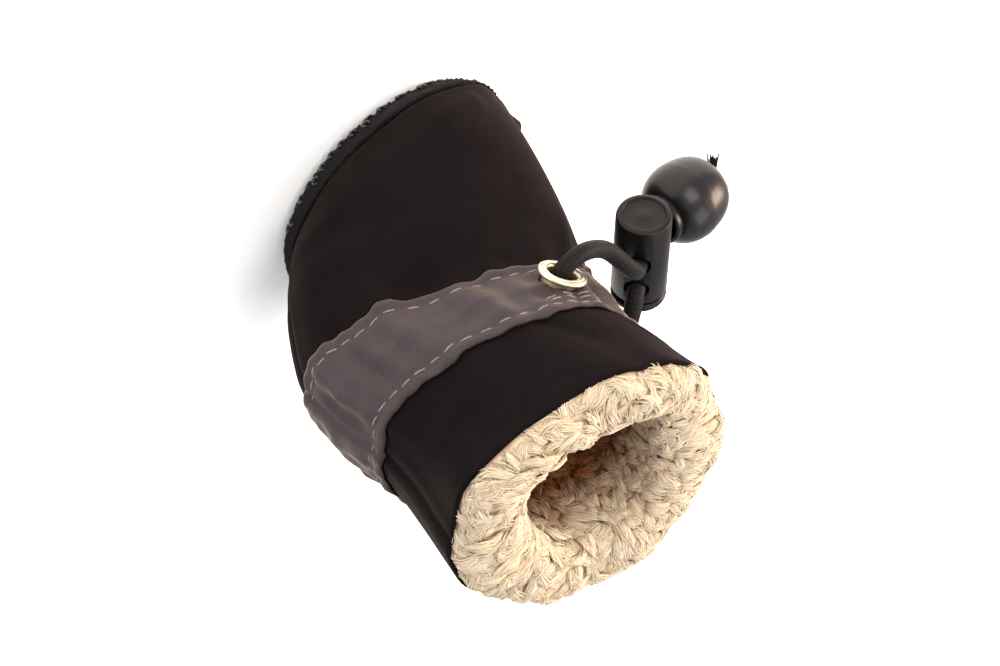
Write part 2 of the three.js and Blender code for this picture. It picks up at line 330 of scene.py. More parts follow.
def copies(name: str, rings: Array, frames: Array) -> Piece:
    """One small tube copied to many places and joined in one mesh.

    Args:
        name: The piece's name.
        rings: The small tube's points, by ring and side.
        frames: For each copy, four rows: its x, y and z directions and its place.

    Returns:
        The new object.
    """
    placed = np.einsum("rsk,nkc->nrsc", rings, frames[:, :3]) + frames[:, 3][:, None, None]
    return tubes(name, placed)


def tube(path: Array, radius: Array, sides: int) -> Array:
    """Rings of a tube along a path, with no twist between them.

    Args:
        path: Points of the middle line, in millimetres.
        radius: Radii by ring and side, or one for all.
        sides: Points in a ring.

    Returns:
        Points by ring and side.
    """
    along = np.gradient(path, axis=0)
    along /= np.linalg.norm(along, axis=1, keepdims=True)
    across = np.zeros_like(along)
    start = np.cross(along[0], [0.0, 0.0, 1.0])
    across[0] = start / np.linalg.norm(start)
    for step in range(1, len(path)):
        turned_ = across[step - 1] - along[step] * (across[step - 1] @ along[step])
        across[step] = turned_ / np.linalg.norm(turned_)
    up = np.cross(along, across)
    angle = full_turn(sides)
    ring = across[:, None] * np.cos(angle)[None, :, None] + up[:, None] * np.sin(angle)[None, :, None]
    return path[:, None] + ring * np.broadcast_to(radius, (len(path), sides))[..., None]


def outwards(piece: Piece) -> None:
    """Turns a mesh of many closed bodies so that all its faces point out.

    Args:
        piece: The object, whose mesh is changed.
    """
    mesh = bmesh.new()
    mesh.from_mesh(piece.data)
    bmesh.ops.recalc_face_normals(mesh, faces=mesh.faces)
    mesh.to_mesh(piece.data)
    mesh.free()


# ---- Turning and cutting by operators ------------------------------------------------------------
def select_none() -> None:
    """Leaves no object selected, so that an operator acts on what is added next."""
    if bpy.context.mode != "OBJECT":
        bpy.ops.object.mode_set(mode="OBJECT")
    bpy.ops.object.select_all(action="DESELECT")


def activate(piece: Piece) -> None:
    """Selects one object alone and makes it the active one.

    Args:
        piece: The object.
    """
    select_none()
    piece.select_set(True)
    bpy.context.view_layer.objects.active = piece


def turn(name: str, profile: list[tuple[float, float]], sides: int, closed: bool) -> Piece:
    """Turns a profile about Z by extruding a circle from each of its corners to the next.

    Args:
        name: The piece's name.
        profile: Radius and height of each corner, in millimetres.
        sides: Facets round the piece.
        closed: Whether the profile joins its own start; otherwise both ends are filled.

    Returns:
        The new object, about the Z axis.
    """
    select_none()
    radius, height = profile[0]
    bpy.ops.mesh.primitive_circle_add(vertices=sides, radius=radius * MM, location=(0, 0, height * MM))
    piece = bpy.context.active_object
    piece.name = name
    bpy.ops.object.transform_apply(location=True, rotation=True, scale=True)
    bpy.ops.object.mode_set(mode="EDIT")
    bpy.ops.mesh.select_all(action="SELECT")
    for (start, low), (end, high) in zip(profile, profile[1:]):
        bpy.ops.mesh.extrude_region_move(TRANSFORM_OT_translate={"value": (0, 0, (high - low) * MM)})
        bpy.ops.transform.resize(value=(end / start, end / start, 1), center_override=(0, 0, 0))
    bpy.ops.mesh.select_all(action="DESELECT")
    bpy.ops.mesh.select_non_manifold()
    if closed:
        bpy.ops.mesh.bridge_edge_loops()
    else:
        bpy.ops.mesh.fill_holes(sides=0)
    bpy.ops.mesh.select_all(action="SELECT")
    bpy.ops.mesh.normals_make_consistent(inside=False)
    bpy.ops.object.mode_set(mode="OBJECT")
    return piece


def drill(piece: Piece, cutter: Piece) -> None:
    """Cuts one object out of another and deletes the cutter.

    Args:
        piece: The object that is cut.
        cutter: The object that cuts it.
    """
    activate(piece)
    cut = piece.modifiers.new("hole", "BOOLEAN")
    cut.operation = "DIFFERENCE"
    cut.solver = "EXACT"
    cut.object = cutter
    bpy.ops.object.modifier_apply(modifier=cut.name)
    bpy.data.objects.remove(cutter)


def smooth(piece: Piece, limit: float) -> None:
    """Shades a piece smooth where its faces meet at less than so many degrees."""
    activate(piece)
    bpy.ops.object.shade_smooth_by_angle(angle=math.radians(limit))


def soften(piece: Piece, width: float) -> None:
    """Rounds a hard piece's sharp edges and shades it smooth.

    Args:
        piece: The object.
        width: Width of the rounding, in millimetres.
    """
    activate(piece)
    bevel = piece.modifiers.new("edges", "BEVEL")
    bevel.width = width * MM
    bevel.segments = 2
    bevel.limit_method = "ANGLE"
    bevel.angle_limit = math.radians(35)
    bpy.ops.object.modifier_apply(modifier=bevel.name)
    smooth(piece, 40)


def rod(radius: float, length: float, sides: int, matrix: Matrix) -> Piece:
    """A straight cutter along Z of its own frame, placed by a matrix in millimetres.

    Args:
        radius: Radius in millimetres.
        length: Length in millimetres.
        sides: Facets round it.
        matrix: Its place and turn, in millimetres.

    Returns:
        The cutter.
    """
    piece = turn("cutter", [(radius, -length / 2), (radius, length / 2)], sides, False)
    place(piece, matrix)
    return piece


def place(piece: Piece, matrix: Matrix) -> None:
    """Moves a mesh by a matrix in millimetres, leaving its object at the origin.

    Args:
        piece: The object.
        matrix: Its place and turn, in millimetres.
    """
    metres = matrix.copy()
    metres.translation = matrix.translation * MM
    piece.data.transform(metres)
    piece.data.update()


def axis_matrix(origin: Vector, axis: Vector) -> Matrix:
    """Matrix that carries Z to an axis and the origin to a point."""
    turn_ = Vector((0, 0, 1)).rotation_difference(axis).to_matrix().to_4x4()
    return Matrix.Translation(origin) @ turn_


# ---- Material nodes ------------------------------------------------------------------------------
def linear(colour: str) -> tuple[float, float, float, float]:
    """An sRGB hex colour as the linear values that a shader takes.

    Args:
        colour: A hash sign and six hex digits.

    Returns:
        Red, green, blue and alpha.
    """
    parts = [int(colour[i:i + 2], 16) / 255 for i in (1, 3, 5)]
    straight = [p / 12.92 if p <= 0.04045 else ((p + 0.055) / 1.055) ** 2.4 for p in parts]
    return (*straight, 1.0)


def add_node(
    tree: Tree, kind: str, settings: dict | None = None, inputs: dict | None = None
) -> Node:
    """Adds a node, sets it and links it.

    Args:
        tree: The node tree.
        kind: The node's type name.
        settings: Attributes of the node.
        inputs: Values or other nodes' outputs, by the name or number of the socket.

    Returns:
        The new node.
    """
    node = tree.nodes.new(kind)
    for name, value in (settings or {}).items():
        setattr(node, name, value)
    for name, value in (inputs or {}).items():
        if isinstance(value, Socket):
            tree.links.new(value, node.inputs[name])
        else:
            node.inputs[name].default_value = value
    return node


def start_material(name: str, sockets: dict) -> tuple[Material, Tree, Node]:
    """A material with one Principled shader, whose plain values are set on its own sockets.

    Args:
        name: The real material and how it was made.
        sockets: Values of the shader, by the name of the socket.

    Returns:
        The material, its node tree and its shader.
    """
    material = bpy.data.materials.new(name)
    material.use_nodes = True
    tree = material.node_tree
    tree.nodes.clear()
    shader = add_node(tree, "ShaderNodeBsdfPrincipled", inputs=sockets)
    add_node(tree, "ShaderNodeOutputMaterial", inputs={"Surface": shader.outputs["BSDF"]})
    return material, tree, shader


def wave_scale(spacing: float) -> float:
    """Scale of a wave texture, which has 20 radians to a unit, for bands so many millimetres apart."""
    return 2 * math.pi / 20 / (spacing * MM)


def noise_scale(size: float) -> float:
    """Scale of a noise texture whose features are about so many millimetres."""
    return 1 / (size * MM)


def weave(tree: Tree, spacing: float) -> Socket:
    """Height of crossing threads on the piece's own cloth map.

    Args:
        tree: The node tree.
        spacing: Millimetres from thread to thread.

    Returns:
        The height socket.
    """
    cloth = add_node(tree, "ShaderNodeTexCoord").outputs["UV"]
    inputs = {"Vector": cloth, "Scale": wave_scale(spacing), "Distortion": 0.6, "Detail": 1.0}
    warp, weft = (
        add_node(tree, "ShaderNodeTexWave", {"bands_direction": direction}, inputs).outputs["Fac"]
        for direction in ("X", "Y")
    )
    return add_node(tree, "ShaderNodeMath", {"operation": "MULTIPLY"}, {0: warp, 1: weft}).outputs[0]


def object_noise(tree: Tree, size: float, detail: float = 3.0) -> Socket:
    """Soft noise in the boot's own space, with features of so many millimetres.

    Args:
        tree: The node tree.
        size: Size of a feature in millimetres.
        detail: Octaves of finer noise.

    Returns:
        The noise socket.
    """
    space = add_node(tree, "ShaderNodeTexCoord").outputs["Object"]
    inputs = {"Vector": space, "Scale": noise_scale(size), "Detail": detail, "Roughness": 0.6}
    return add_node(tree, "ShaderNodeTexNoise", inputs=inputs).outputs["Fac"]


def mixed(tree: Tree, share: Socket, first: str | Socket, second: str | Socket) -> Socket:
    """A colour mix; first and second are hex colours or colour sockets.

    Args:
        tree: The node tree.
        share: 0 for the first colour, 1 for the second.
        first: The first colour.
        second: The second colour.

    Returns:
        The colour socket.
    """
    ends = [linear(end) if isinstance(end, str) else end for end in (first, second)]
    node = add_node(tree, "ShaderNodeMix", {"data_type": "RGBA"}, {0: share, 6: ends[0], 7: ends[1]})
    return node.outputs[2]


def ranged(
    tree: Tree, value: Socket, low: float, high: float, to_low: float = 0.0, to_high: float = 1.0
) -> Socket:
    """A value moved from one range to another, which is 0 to 1 if not given.

    Args:
        tree: The node tree.
        value: The value.
        low: Start of its range.
        high: End of its range.
        to_low: Start of the new range.
        to_high: End of the new range.

    Returns:
        The moved value.
    """
    ends = {0: value, 1: low, 2: high, 3: to_low, 4: to_high}
    return add_node(tree, "ShaderNodeMapRange", inputs=ends).outputs[0]


def rim(tree: Tree, blend: float, power: float) -> Socket:
    """Share of a surface seen at a grazing angle, sharpened by a power."""
    facing = add_node(tree, "ShaderNodeLayerWeight", inputs={"Blend": blend}).outputs["Facing"]
    return add_node(tree, "ShaderNodeMath", {"operation": "POWER"}, {0: facing, 1: power}).outputs[0]


def colour(tree: Tree, shader: Node, source: Socket) -> None:
    """Links a colour to a shader."""
    tree.links.new(source, shader.inputs["Base Color"])


def bump(tree: Tree, shader: Node, height: Socket, depth: float, strength: float) -> None:
    """Gives a shader a bump whose full height is so many millimetres.

    Args:
        tree: The node tree.
        shader: The shader.
        height: The height, from 0 to 1.
        depth: Full height in millimetres.
        strength: Share of the bump that shows.
    """
    inputs = {"Height": height, "Distance": depth * MM, "Strength": strength}
    node = add_node(tree, "ShaderNodeBump", inputs=inputs)
    tree.links.new(node.outputs["Normal"], shader.inputs["Normal"])


# ---- Finishes ------------------------------------------------------------------------------------
@dataclass(frozen=True)
class ShellCloth:
    """Bonded polyester soft-shell: fine plain weave, matt, with a faint brown sheen painted at the edges,
    where the cloth is seen at a grazing angle.
    """

    face: str = "#100c0d"
    worn: str = "#151011"
    # Painted sheen: this brown is mixed in where the cloth is seen at a grazing angle.
    sheen_and_flow_tone: str = "#281c18"
    thread: float = 0.38  # coarser than the real 0.15 so that it shows at all

    def material(self) -> Material:
        """Builds the cloth's nodes.

        Returns:
            The finished material.
        """
        material, tree, shader = start_material(
            "soft_shell_polyester",
            {"Roughness": 0.7, "IOR": 1.4, "Specular IOR Level": 0.035,
             "Sheen Weight": 0.004, "Sheen Roughness": 0.35, "Sheen Tint": linear("#c08a70")},
        )
        base = mixed(tree, ranged(tree, object_noise(tree, 9.0), 0.35, 0.7), self.face, self.worn)
        # Painted sheen: brown at the silhouette, where the cloth is seen at a grazing angle.
        edge = mixed(tree, rim(tree, 0.35, 2.6), base, self.sheen_and_flow_tone)
        colour(tree, shader, edge)
        bump(tree, shader, weave(tree, self.thread), 0.05, 0.5)
        return material


@dataclass(frozen=True)
class ReflectiveCloth:
    """Retroreflective tape: glass beads in a grey binder, with the golden glint that they show at a grazing
    angle painted into the colour.
    """

    grey: str = "#3c3436"
    light: str = "#484042"
    glint: str = "#86744a"
    bead: float = 0.3  # clusters of beads; single ones are too fine to show

    def material(self) -> Material:
        """Builds the tape's nodes.

        Returns:
            The finished material.
        """
        material, tree, shader = start_material(
            "retroreflective_tape_cloth",
            {"Roughness": 0.5, "IOR": 1.45, "Specular IOR Level": 0.12,
             "Sheen Weight": 0.01, "Sheen Roughness": 0.35},
        )
        grain = object_noise(tree, self.bead, 1.0)
        cloud = object_noise(tree, 6.0)
        speck = mixed(tree, ranged(tree, grain, 0.3, 0.75), self.grey, self.light)
        dull = mixed(tree, ranged(tree, cloud, 0.3, 0.75), speck, self.grey)
        # Painted glint: golden where the tape is seen at a grazing angle.
        colour(tree, shader, mixed(tree, rim(tree, 0.4, 5.0), dull, self.glint))
        bump(tree, shader, weave(tree, 0.5), 0.05, 0.35)
        return material


@dataclass(frozen=True)
class SherpaFleece:
    """Curly polyester pile: cream at the tips, warm tan where light is lost between the clumps."""

    cream: str = "#e3cfb2"
    shade: str = "#cbac84"
    # Painted shade: the brown that the pile turns deep inside the boot and at the roots of the locks.
    painted_deep_shade: str = "#75431f"
    fibre: float = 0.22  # bundles of fibres; single ones are too fine to show

    def material(self) -> Material:
        """Builds the pile's nodes; the piece's own depth attribute holds painted shade, which turns the pile
        deep brown inside the boot and towards the roots of the locks.

        Returns:
            The finished material.
        """
        material, tree, shader = start_material(
            "sherpa_fleece_pile",
            {"Roughness": 0.95, "IOR": 1.4, "Specular IOR Level": 0.15,
             "Sheen Weight": 0.06, "Sheen Roughness": 0.6, "Sheen Tint": linear("#fff1dc"),
             "Subsurface Weight": 0.35, "Subsurface Scale": 1.4 * MM,
             "Subsurface Radius": (1.0, 0.75, 0.5)},
        )
        depth = add_node(tree, "ShaderNodeAttribute", {"attribute_name": "depth"}).outputs["Fac"]
        cloth = add_node(tree, "ShaderNodeTexCoord").outputs["UV"]
        stretch = {"Vector": cloth, "Scale": (1.0, 0.14, 1.0)}
        along = add_node(tree, "ShaderNodeMapping", inputs=stretch).outputs[0]
        lines = {"Vector": along, "Scale": noise_scale(self.fibre), "Detail": 2.0}
        streak = add_node(tree, "ShaderNodeTexNoise", inputs=lines).outputs["Fac"]
        cloud = ranged(tree, object_noise(tree, 3.2), 0.3, 0.7)
        fine = mixed(tree, ranged(tree, streak, 0.3, 0.7), self.shade, self.cream)
        tuft = mixed(tree, cloud, fine, self.cream)
        # Painted shade: the depth attribute mixes in the deep brown.
        colour(tree, shader, mixed(tree, depth, tuft, self.painted_deep_shade))
        bump(tree, shader, streak, 0.22, 0.7)
        return material


@dataclass(frozen=True)
class RibKnit:
    """Ribbed stretch knit: matt black yarn whose loops show as small chevrons on each rib."""

    yarn: str = "#100d0e"
    # Painted light: the lighter colour of the loops' tops.
    top: str = "#1e1a1b"
    stitch: float = 0.7

    def material(self) -> Material:
        """Builds the knit's nodes.

        Returns:
            The finished material.
        """
        material, tree, shader = start_material(
            "ribbed_stretch_knit",
            {"Roughness": 0.88, "IOR": 1.45, "Specular IOR Level": 0.15, "Sheen Weight": 0.01},
        )
        loops = weave(tree, self.stitch)
        # Painted light and shade: lighter on the tops of the loops and darker in the hollows between them.
        colour(tree, shader, mixed(tree, loops, self.yarn, self.top))
        bump(tree, shader, loops, 0.25, 0.7)
        return material


@dataclass(frozen=True)
class DropRubber:
    """Screen-printed rubber: black, smooth and wet-looking where it has flowed."""

    body: str = "#0b0a0a"
    dull: str = "#151213"

    def material(self) -> Material:
        """Builds the rubber's nodes.

        Returns:
            The finished material.
        """
        material, tree, shader = start_material("printed_grip_rubber", {"IOR": 1.5, "Coat Weight": 0.2})
        blotch = object_noise(tree, 3.0)
        colour(tree, shader, mixed(tree, blotch, self.body, self.dull))
        tree.links.new(ranged(tree, blotch, 0.0, 1.0, 0.22, 0.42), shader.inputs["Roughness"])
        return material


@dataclass(frozen=True)
class PaleNickel:
    """Nickel-plated rolled steel: bright, slightly warm, with fine rolling marks."""

    plate: str = "#e6dac0"
    tarnish: str = "#b9a984"

    def material(self) -> Material:
        """Builds the metal's nodes.

        Returns:
            The finished material.
        """
        material, tree, shader = start_material("pale_nickel_plate", {"Metallic": 1.0})
        stain = ranged(tree, object_noise(tree, 1.2), 0.45, 0.8)
        colour(tree, shader, mixed(tree, stain, self.plate, self.tarnish))
        tree.links.new(ranged(tree, stain, 0.0, 1.0, 0.28, 0.36), shader.inputs["Roughness"])
        bump(tree, shader, object_noise(tree, 0.25, 1.0), 0.004, 0.2)
        return material


@dataclass(frozen=True)
class BraidedCord:
    """Braided elastic cord: polyester sheath, with a faint sheen painted along the top of each carrier."""

    yarn: str = "#0e0c0c"
    # Painted sheen on the tops of the carriers.
    painted_carrier_sheen: str = "#1c1818"
    pitch: float = 0.75

    def material(self) -> Material:
        """Builds the sheath's nodes.

        Returns:
            The finished material.
        """
        material, tree, shader = start_material(
            "braided_elastic_cord",
            {"Roughness": 0.6, "IOR": 1.45, "Specular IOR Level": 0.15,
             "Sheen Weight": 0.006, "Sheen Roughness": 0.3},
        )
        braid = weave(tree, self.pitch)
        # Painted sheen: lighter on the raised carriers, following the braid's height.
        colour(tree, shader, mixed(tree, braid, self.yarn, self.painted_carrier_sheen))
        bump(tree, shader, braid, 0.03, 0.35)
        return material


class Gloss(Enum):
    """How smooth a plastic leaves its mould: roughness, grain in mm, coat and specular level."""

    SPARK_ERODED = (0.42, 0.35, 0.0, 0.22)
    POLISHED = (0.38, 2.5, 0.18, 0.25)


@dataclass(frozen=True)
class MouldedPlastic:
    """Injection-moulded plastic, matt from an eroded mould or glossy from a polished one."""

    name: str
    body: str
    sheen_and_flow_tone: str
    gloss: Gloss

    def material(self) -> Material:
        """Builds the plastic's nodes.

        Returns:
            The finished material.
        """
        rough, grain, coat, level = self.gloss.value
        material, tree, shader = start_material(
            self.name,
            {"Roughness": rough, "IOR": 1.49, "Specular IOR Level": level,
             "Coat Weight": coat, "Coat Roughness": 0.22},
        )
        flow = ranged(tree, object_noise(tree, grain * 4, 2.0), 0.35, 0.8)
        colour(tree, shader, mixed(tree, flow, self.body, self.sheen_and_flow_tone))
        bump(tree, shader, object_noise(tree, grain, 2.0), 0.03, 0.3)
        return material


@dataclass(frozen=True)
class SewingThread:
    """Polyester sewing thread, pinkish grey, twisted from two plies."""

    ply: str = "#8d8185"
    dip: str = "#685c60"

    def material(self) -> Material:
        """Builds the thread's nodes.

        Returns:
            The finished material.
        """
        material, tree, shader = start_material(
            "polyester_sewing_thread", {"Roughness": 0.6, "Specular IOR Level": 0.3}
        )
        twist = ranged(tree, object_noise(tree, 0.4), 0.35, 0.7)
        colour(tree, shader, mixed(tree, twist, self.dip, self.ply))
        return material


# ---- Camera and light ----------------------------------------------------------------------------
@dataclass
class Studio:
    """A pale floor, soft light from the boot's left and above, and the camera."""

    target: tuple[float, float, float] = (-0.3, 2.1, 39.9)
    back: tuple[float, float, float] = (-0.551, 0.711, 0.436)
    up: tuple[float, float, float] = (0.475, 0.697, -0.537)
    distance: float = 700.0
    picture: float = 159.0  # width that the camera takes in at the boot, in millimetres
    sensor: float = 36.0
    surround: float = 0.8  # strength of the pale surroundings
    glow: float = 0.26  # the floor's own light, which keeps it pale
    floor_size: float = 6.0  # metres

    # Softboxes: name, place and side in millimetres, watts, tint.
    softboxes: tuple[tuple[str, tuple[float, float, float], float, float, str], ...] = (
        ("key", (-60, 620, 420), 460, 4.2, "#fff8f0"),
        ("top", (40, -60, 800), 520, 3.0, "#ffffff"),
        ("front", (520, 40, 400), 260, 4.6, "#ffdcc2"),
    )

    def camera(self) -> None:
        """Adds the camera, rolled so that the toe points up in the picture."""
        back = Vector(self.back).normalized()
        right = Vector(self.up).cross(back).normalized()
        up = back.cross(right)
        data = bpy.data.cameras.new("camera")
        data.sensor_width = self.sensor
        data.lens = self.sensor * self.distance / self.picture
        data.clip_start = 0.01
        camera = bpy.data.objects.new("camera", data)
        turned_ = Matrix((right, up, back)).transposed().to_4x4()
        eye = (Vector(self.target) + back * self.distance) * MM
        camera.matrix_world = Matrix.Translation(eye) @ turned_
        bpy.context.scene.collection.objects.link(camera)
        bpy.context.scene.camera = camera

    def softbox(
        self, name: str, eye: tuple[float, float, float], size: float, power: float, tint: str
    ) -> None:
        """Adds a square soft light that faces the boot.

        Args:
            name: The light's name.
            eye: Its place, in millimetres.
            size: Its side, in millimetres.
            power: Its power in watts.
            tint: Its colour.
        """
        data = bpy.data.lights.new(name, "AREA")
        data.size = size * MM
        data.energy = power
        data.color = linear(tint)[:3]
        light = bpy.data.objects.new(name, data)
        aim = (Vector(self.target) - Vector(eye)).normalized()
        light.rotation_mode = "QUATERNION"
        light.rotation_quaternion = aim.to_track_quat("-Z", "Y")
        light.location = Vector(eye) * MM
        bpy.context.scene.collection.objects.link(light)

    def floor(self) -> Piece:
        """Adds the floor, far wider than the boot.

        Returns:
            The floor, which is scenery and no part of the boot.
        """
        select_none()
        bpy.ops.mesh.primitive_plane_add(size=self.floor_size, location=(0, 0, 0))
        floor = bpy.context.active_object
        floor.name = "floor"
        material, tree, shader = start_material(
            "pale_paper",
            {"Roughness": 0.9, "Emission Color": linear("#ffffff"), "Emission Strength": self.glow},
        )
        colour(tree, shader, mixed(tree, object_noise(tree, 60.0), "#fbfbfb", "#ffffff"))
        floor.data.materials.append(material)
        return floor

    def light(self) -> None:
        """Adds the pale surroundings and the softboxes."""
        world = bpy.data.worlds.new("studio")
        world.use_nodes = True
        background = world.node_tree.nodes["Background"]
        background.inputs["Color"].default_value = linear("#fbfcff")
        background.inputs["Strength"].default_value = self.surround
        bpy.context.scene.world = world
        bpy.context.scene.view_settings.view_transform = "Standard"
        for box in self.softboxes:
            self.softbox(*box)


# ---- Shell ---------------------------------------------------------------------------------------
@dataclass(frozen=True)
class Crease:
    """A soft trough (height below 0) or ridge between two places; angles in degrees."""

    place: float
    angle: float
    to_place: float
    to_angle: float
    height: float
    width: float


CREASES = (
    #      place angle  to    angle  height width
    Crease(2.95, 104.0, 1.9, 96.0, -0.70, 1.7),
    Crease(2.95, 121.0, 2.1, 126.0, 0.60, 1.6),
    Crease(2.90, 76.0, 1.9, 58.0, -0.75, 1.9),
    Crease(2.90, 146.0, 2.3, 156.0, -0.55, 1.6),
    Crease(2.95, 40.0, 2.2, 30.0, 0.60, 1.6),
    Crease(1.40, 128.0, 0.9, 178.0, -0.60, 2.4),
    Crease(0.55, 60.0, 0.95, 98.0, 0.55, 2.2),
    Crease(5.05, 88.0, 5.9, 82.0, -0.60, 1.8),
    Crease(5.05, 128.0, 6.1, 137.0, -0.55, 2.0),
    Crease(5.05, 163.0, 5.8, 158.0, 0.50, 1.6),
    Crease(5.05, 48.0, 5.8, 40.0, 0.60, 1.8),
    Crease(2.95, 256.0, 1.8, 264.0, -0.70, 1.8),
    Crease(2.90, 286.0, 1.9, 304.0, -0.75, 1.9),
    Crease(2.95, 232.0, 2.2, 224.0, 0.60, 1.6),
    Crease(1.35, 232.0, 0.9, 188.0, -0.60, 2.4),
    Crease(5.05, 270.0, 6.0, 278.0, -0.60, 1.8),
    Crease(5.05, 226.0, 6.1, 218.0, -0.55, 2.0),
    Crease(5.05, 312.0, 5.9, 320.0, 0.60, 1.8),
)


class Slack:
    """How far the cloth stands off the last: gathers at the drawcord, seams, creases and waves."""

    def __init__(self, creases: tuple[Crease, ...]) -> None:
        """Keeps the creases."""
        self.creases = creases

    @staticmethod
    def gathers(place: Array, angle: Array) -> Array:
        """Small upright pleats that the drawcord pulls the cloth into.

        Args:
            place: Places on the last.
            angle: Angles round from the toe, in radians.

        Returns:
            Millimetres off the last.
        """
        waves = ((0.55, 11, 0.6), (0.45, 17, 2.1), (0.28, 26, 0.0))  # height, number round, phase
        pleats = sum(height * np.cos(count * angle + phase) for height, count, phase in waves)
        return bell(place - DRAWCORD, 0.8) * (pleats - 0.35 - 1.1 * bell(wrapped(angle), 0.55))

    @staticmethod
    def seams(angle: Array, half: Array) -> Array:
        """A grooved seam down the front and a flatter one down the back.

        Args:
            angle: Angles round from the toe, in radians.
            half: Millimetres from the middle line to the side.

        Returns:
            Millimetres off the last.
        """
        across = half * np.sin(angle)
        front = np.cos(angle) > 0
        depth = np.where(front, 1.0, 0.45)
        return 0.45 * depth * bell(np.abs(across) - 2.2, 1.2) - depth * bell(across, 0.6)

    def folds(self, place: Array, angle: Array) -> Array:
        """The listed creases.

        Args:
            place: Places on the last.
            angle: Angles round from the toe, in radians.

        Returns:
            Millimetres off the last.
        """
        out = np.zeros(np.broadcast(place, angle).shape)
        for crease in self.creases:
            start = np.array([math.radians(crease.angle) * ROUND, crease.place * RISE])
            end = np.array([math.radians(crease.to_angle) * ROUND, crease.to_place * RISE])
            middle = (start[0] + end[0]) / 2 / ROUND
            near = wrapped(angle - middle) + middle
            offset = np.stack(np.broadcast_arrays(near * ROUND, place * RISE), axis=-1) - start
            run = end - start
            share = np.clip(offset @ run / (run @ run), 0, 1)
            away = np.linalg.norm(offset - share[..., None] * run, axis=-1)
            out += 1.25 * crease.height * (1 - 0.7 * share) * bell(away, crease.width)
        return out

    @staticmethod
    def waves(place: Array, angle: Array) -> Array:
        """Slow waves of slack cloth, widest at the collar and small at the sole.

        Args:
            place: Places on the last.
            angle: Angles round from the toe, in radians.

        Returns:
            Millimetres off the last.
        """
        collar = np.clip((place - BAND_HIGH) / 2, 0, 1) ** 1.5
        foot = np.clip(1 - place / 2.5, 0, 1)
        turns = ((0.75, 3, 0.8), (0.45, 7, 2.0), (0.25, 12, 0.3))  # height, number round, phase
        loose = sum(height * np.sin(count * angle + phase) for height, count, phase in turns)
        dents = 0.35 * np.sin(5 * angle + 1.9) + 0.25 * np.sin(9 * angle + 2.2 * place)
        return 0.9 * collar * loose + 0.7 * foot * dents + 0.15 * np.sin(4 * angle + 3.1 * place)

    def out(self, place: Array, angle: Array) -> Array:
        """Everything together, in millimetres off the last."""
        seams = self.seams(angle, SEAM_REACH)
        return self.gathers(place, angle) + seams + self.folds(place, angle) + self.waves(place, angle)


def round_angles(count: int) -> Array:
    """Angles round the boot, closer together at the front and back seams."""
    even = full_turn(count)
    return even - 0.25 * np.sin(2 * even)


@dataclass
class Shell:
    """The soft-shell upper: one closed skin with a real thickness, hemmed at collar and sole."""

    last: Last
    slack: Slack
    sides: int = 336
    rows: int = 118
    thick: float = 0.9
    tuck: float = 1.0  # how far the cloth turns in where it meets the sole
    nub: float = 2.6  # height of the gathered cloth at the toe

    def skin(self, place: Array, angle: Array) -> Array:
        """How far the shell's face stands off the last, with the tuck at the sole seam."""
        nub = self.nub * bell(wrapped(angle) * ROUND, 2.0) * bell(place - 0.3, 0.17)
        return self.slack.out(place, angle) - self.tuck * bell(place - 0.02, 0.07) + nub

    def build(self, cloth: Material) -> Piece:
        """Makes the shell.

        Args:
            cloth: The shell cloth.

        Returns:
            The finished piece.
        """
        angle = round_angles(self.sides)[None]
        up = np.linspace(0, COLLAR, self.rows)[:, None]
        down = np.linspace(COLLAR, 0, self.rows // 4)[:, None]
        hem = np.linspace(0, math.pi, 7)[1:-1, None]
        half = self.thick / 2
        edge = self.skin(float(COLLAR), angle)
        rings = np.concatenate([
            self.last.skin(up, angle, self.skin(up, angle)),
            self.last.skin(COLLAR, angle, edge - half + half * np.cos(hem), half * np.sin(hem)),
            self.last.skin(down, angle, self.skin(down, angle) - self.thick),
        ])
        scale = (ROUND * 2 * math.pi / self.sides, RISE * COLLAR / self.rows)
        shell = loft("shell", rings, True, scale)
        return finished(shell, "shell_cloth", cloth, "upper")


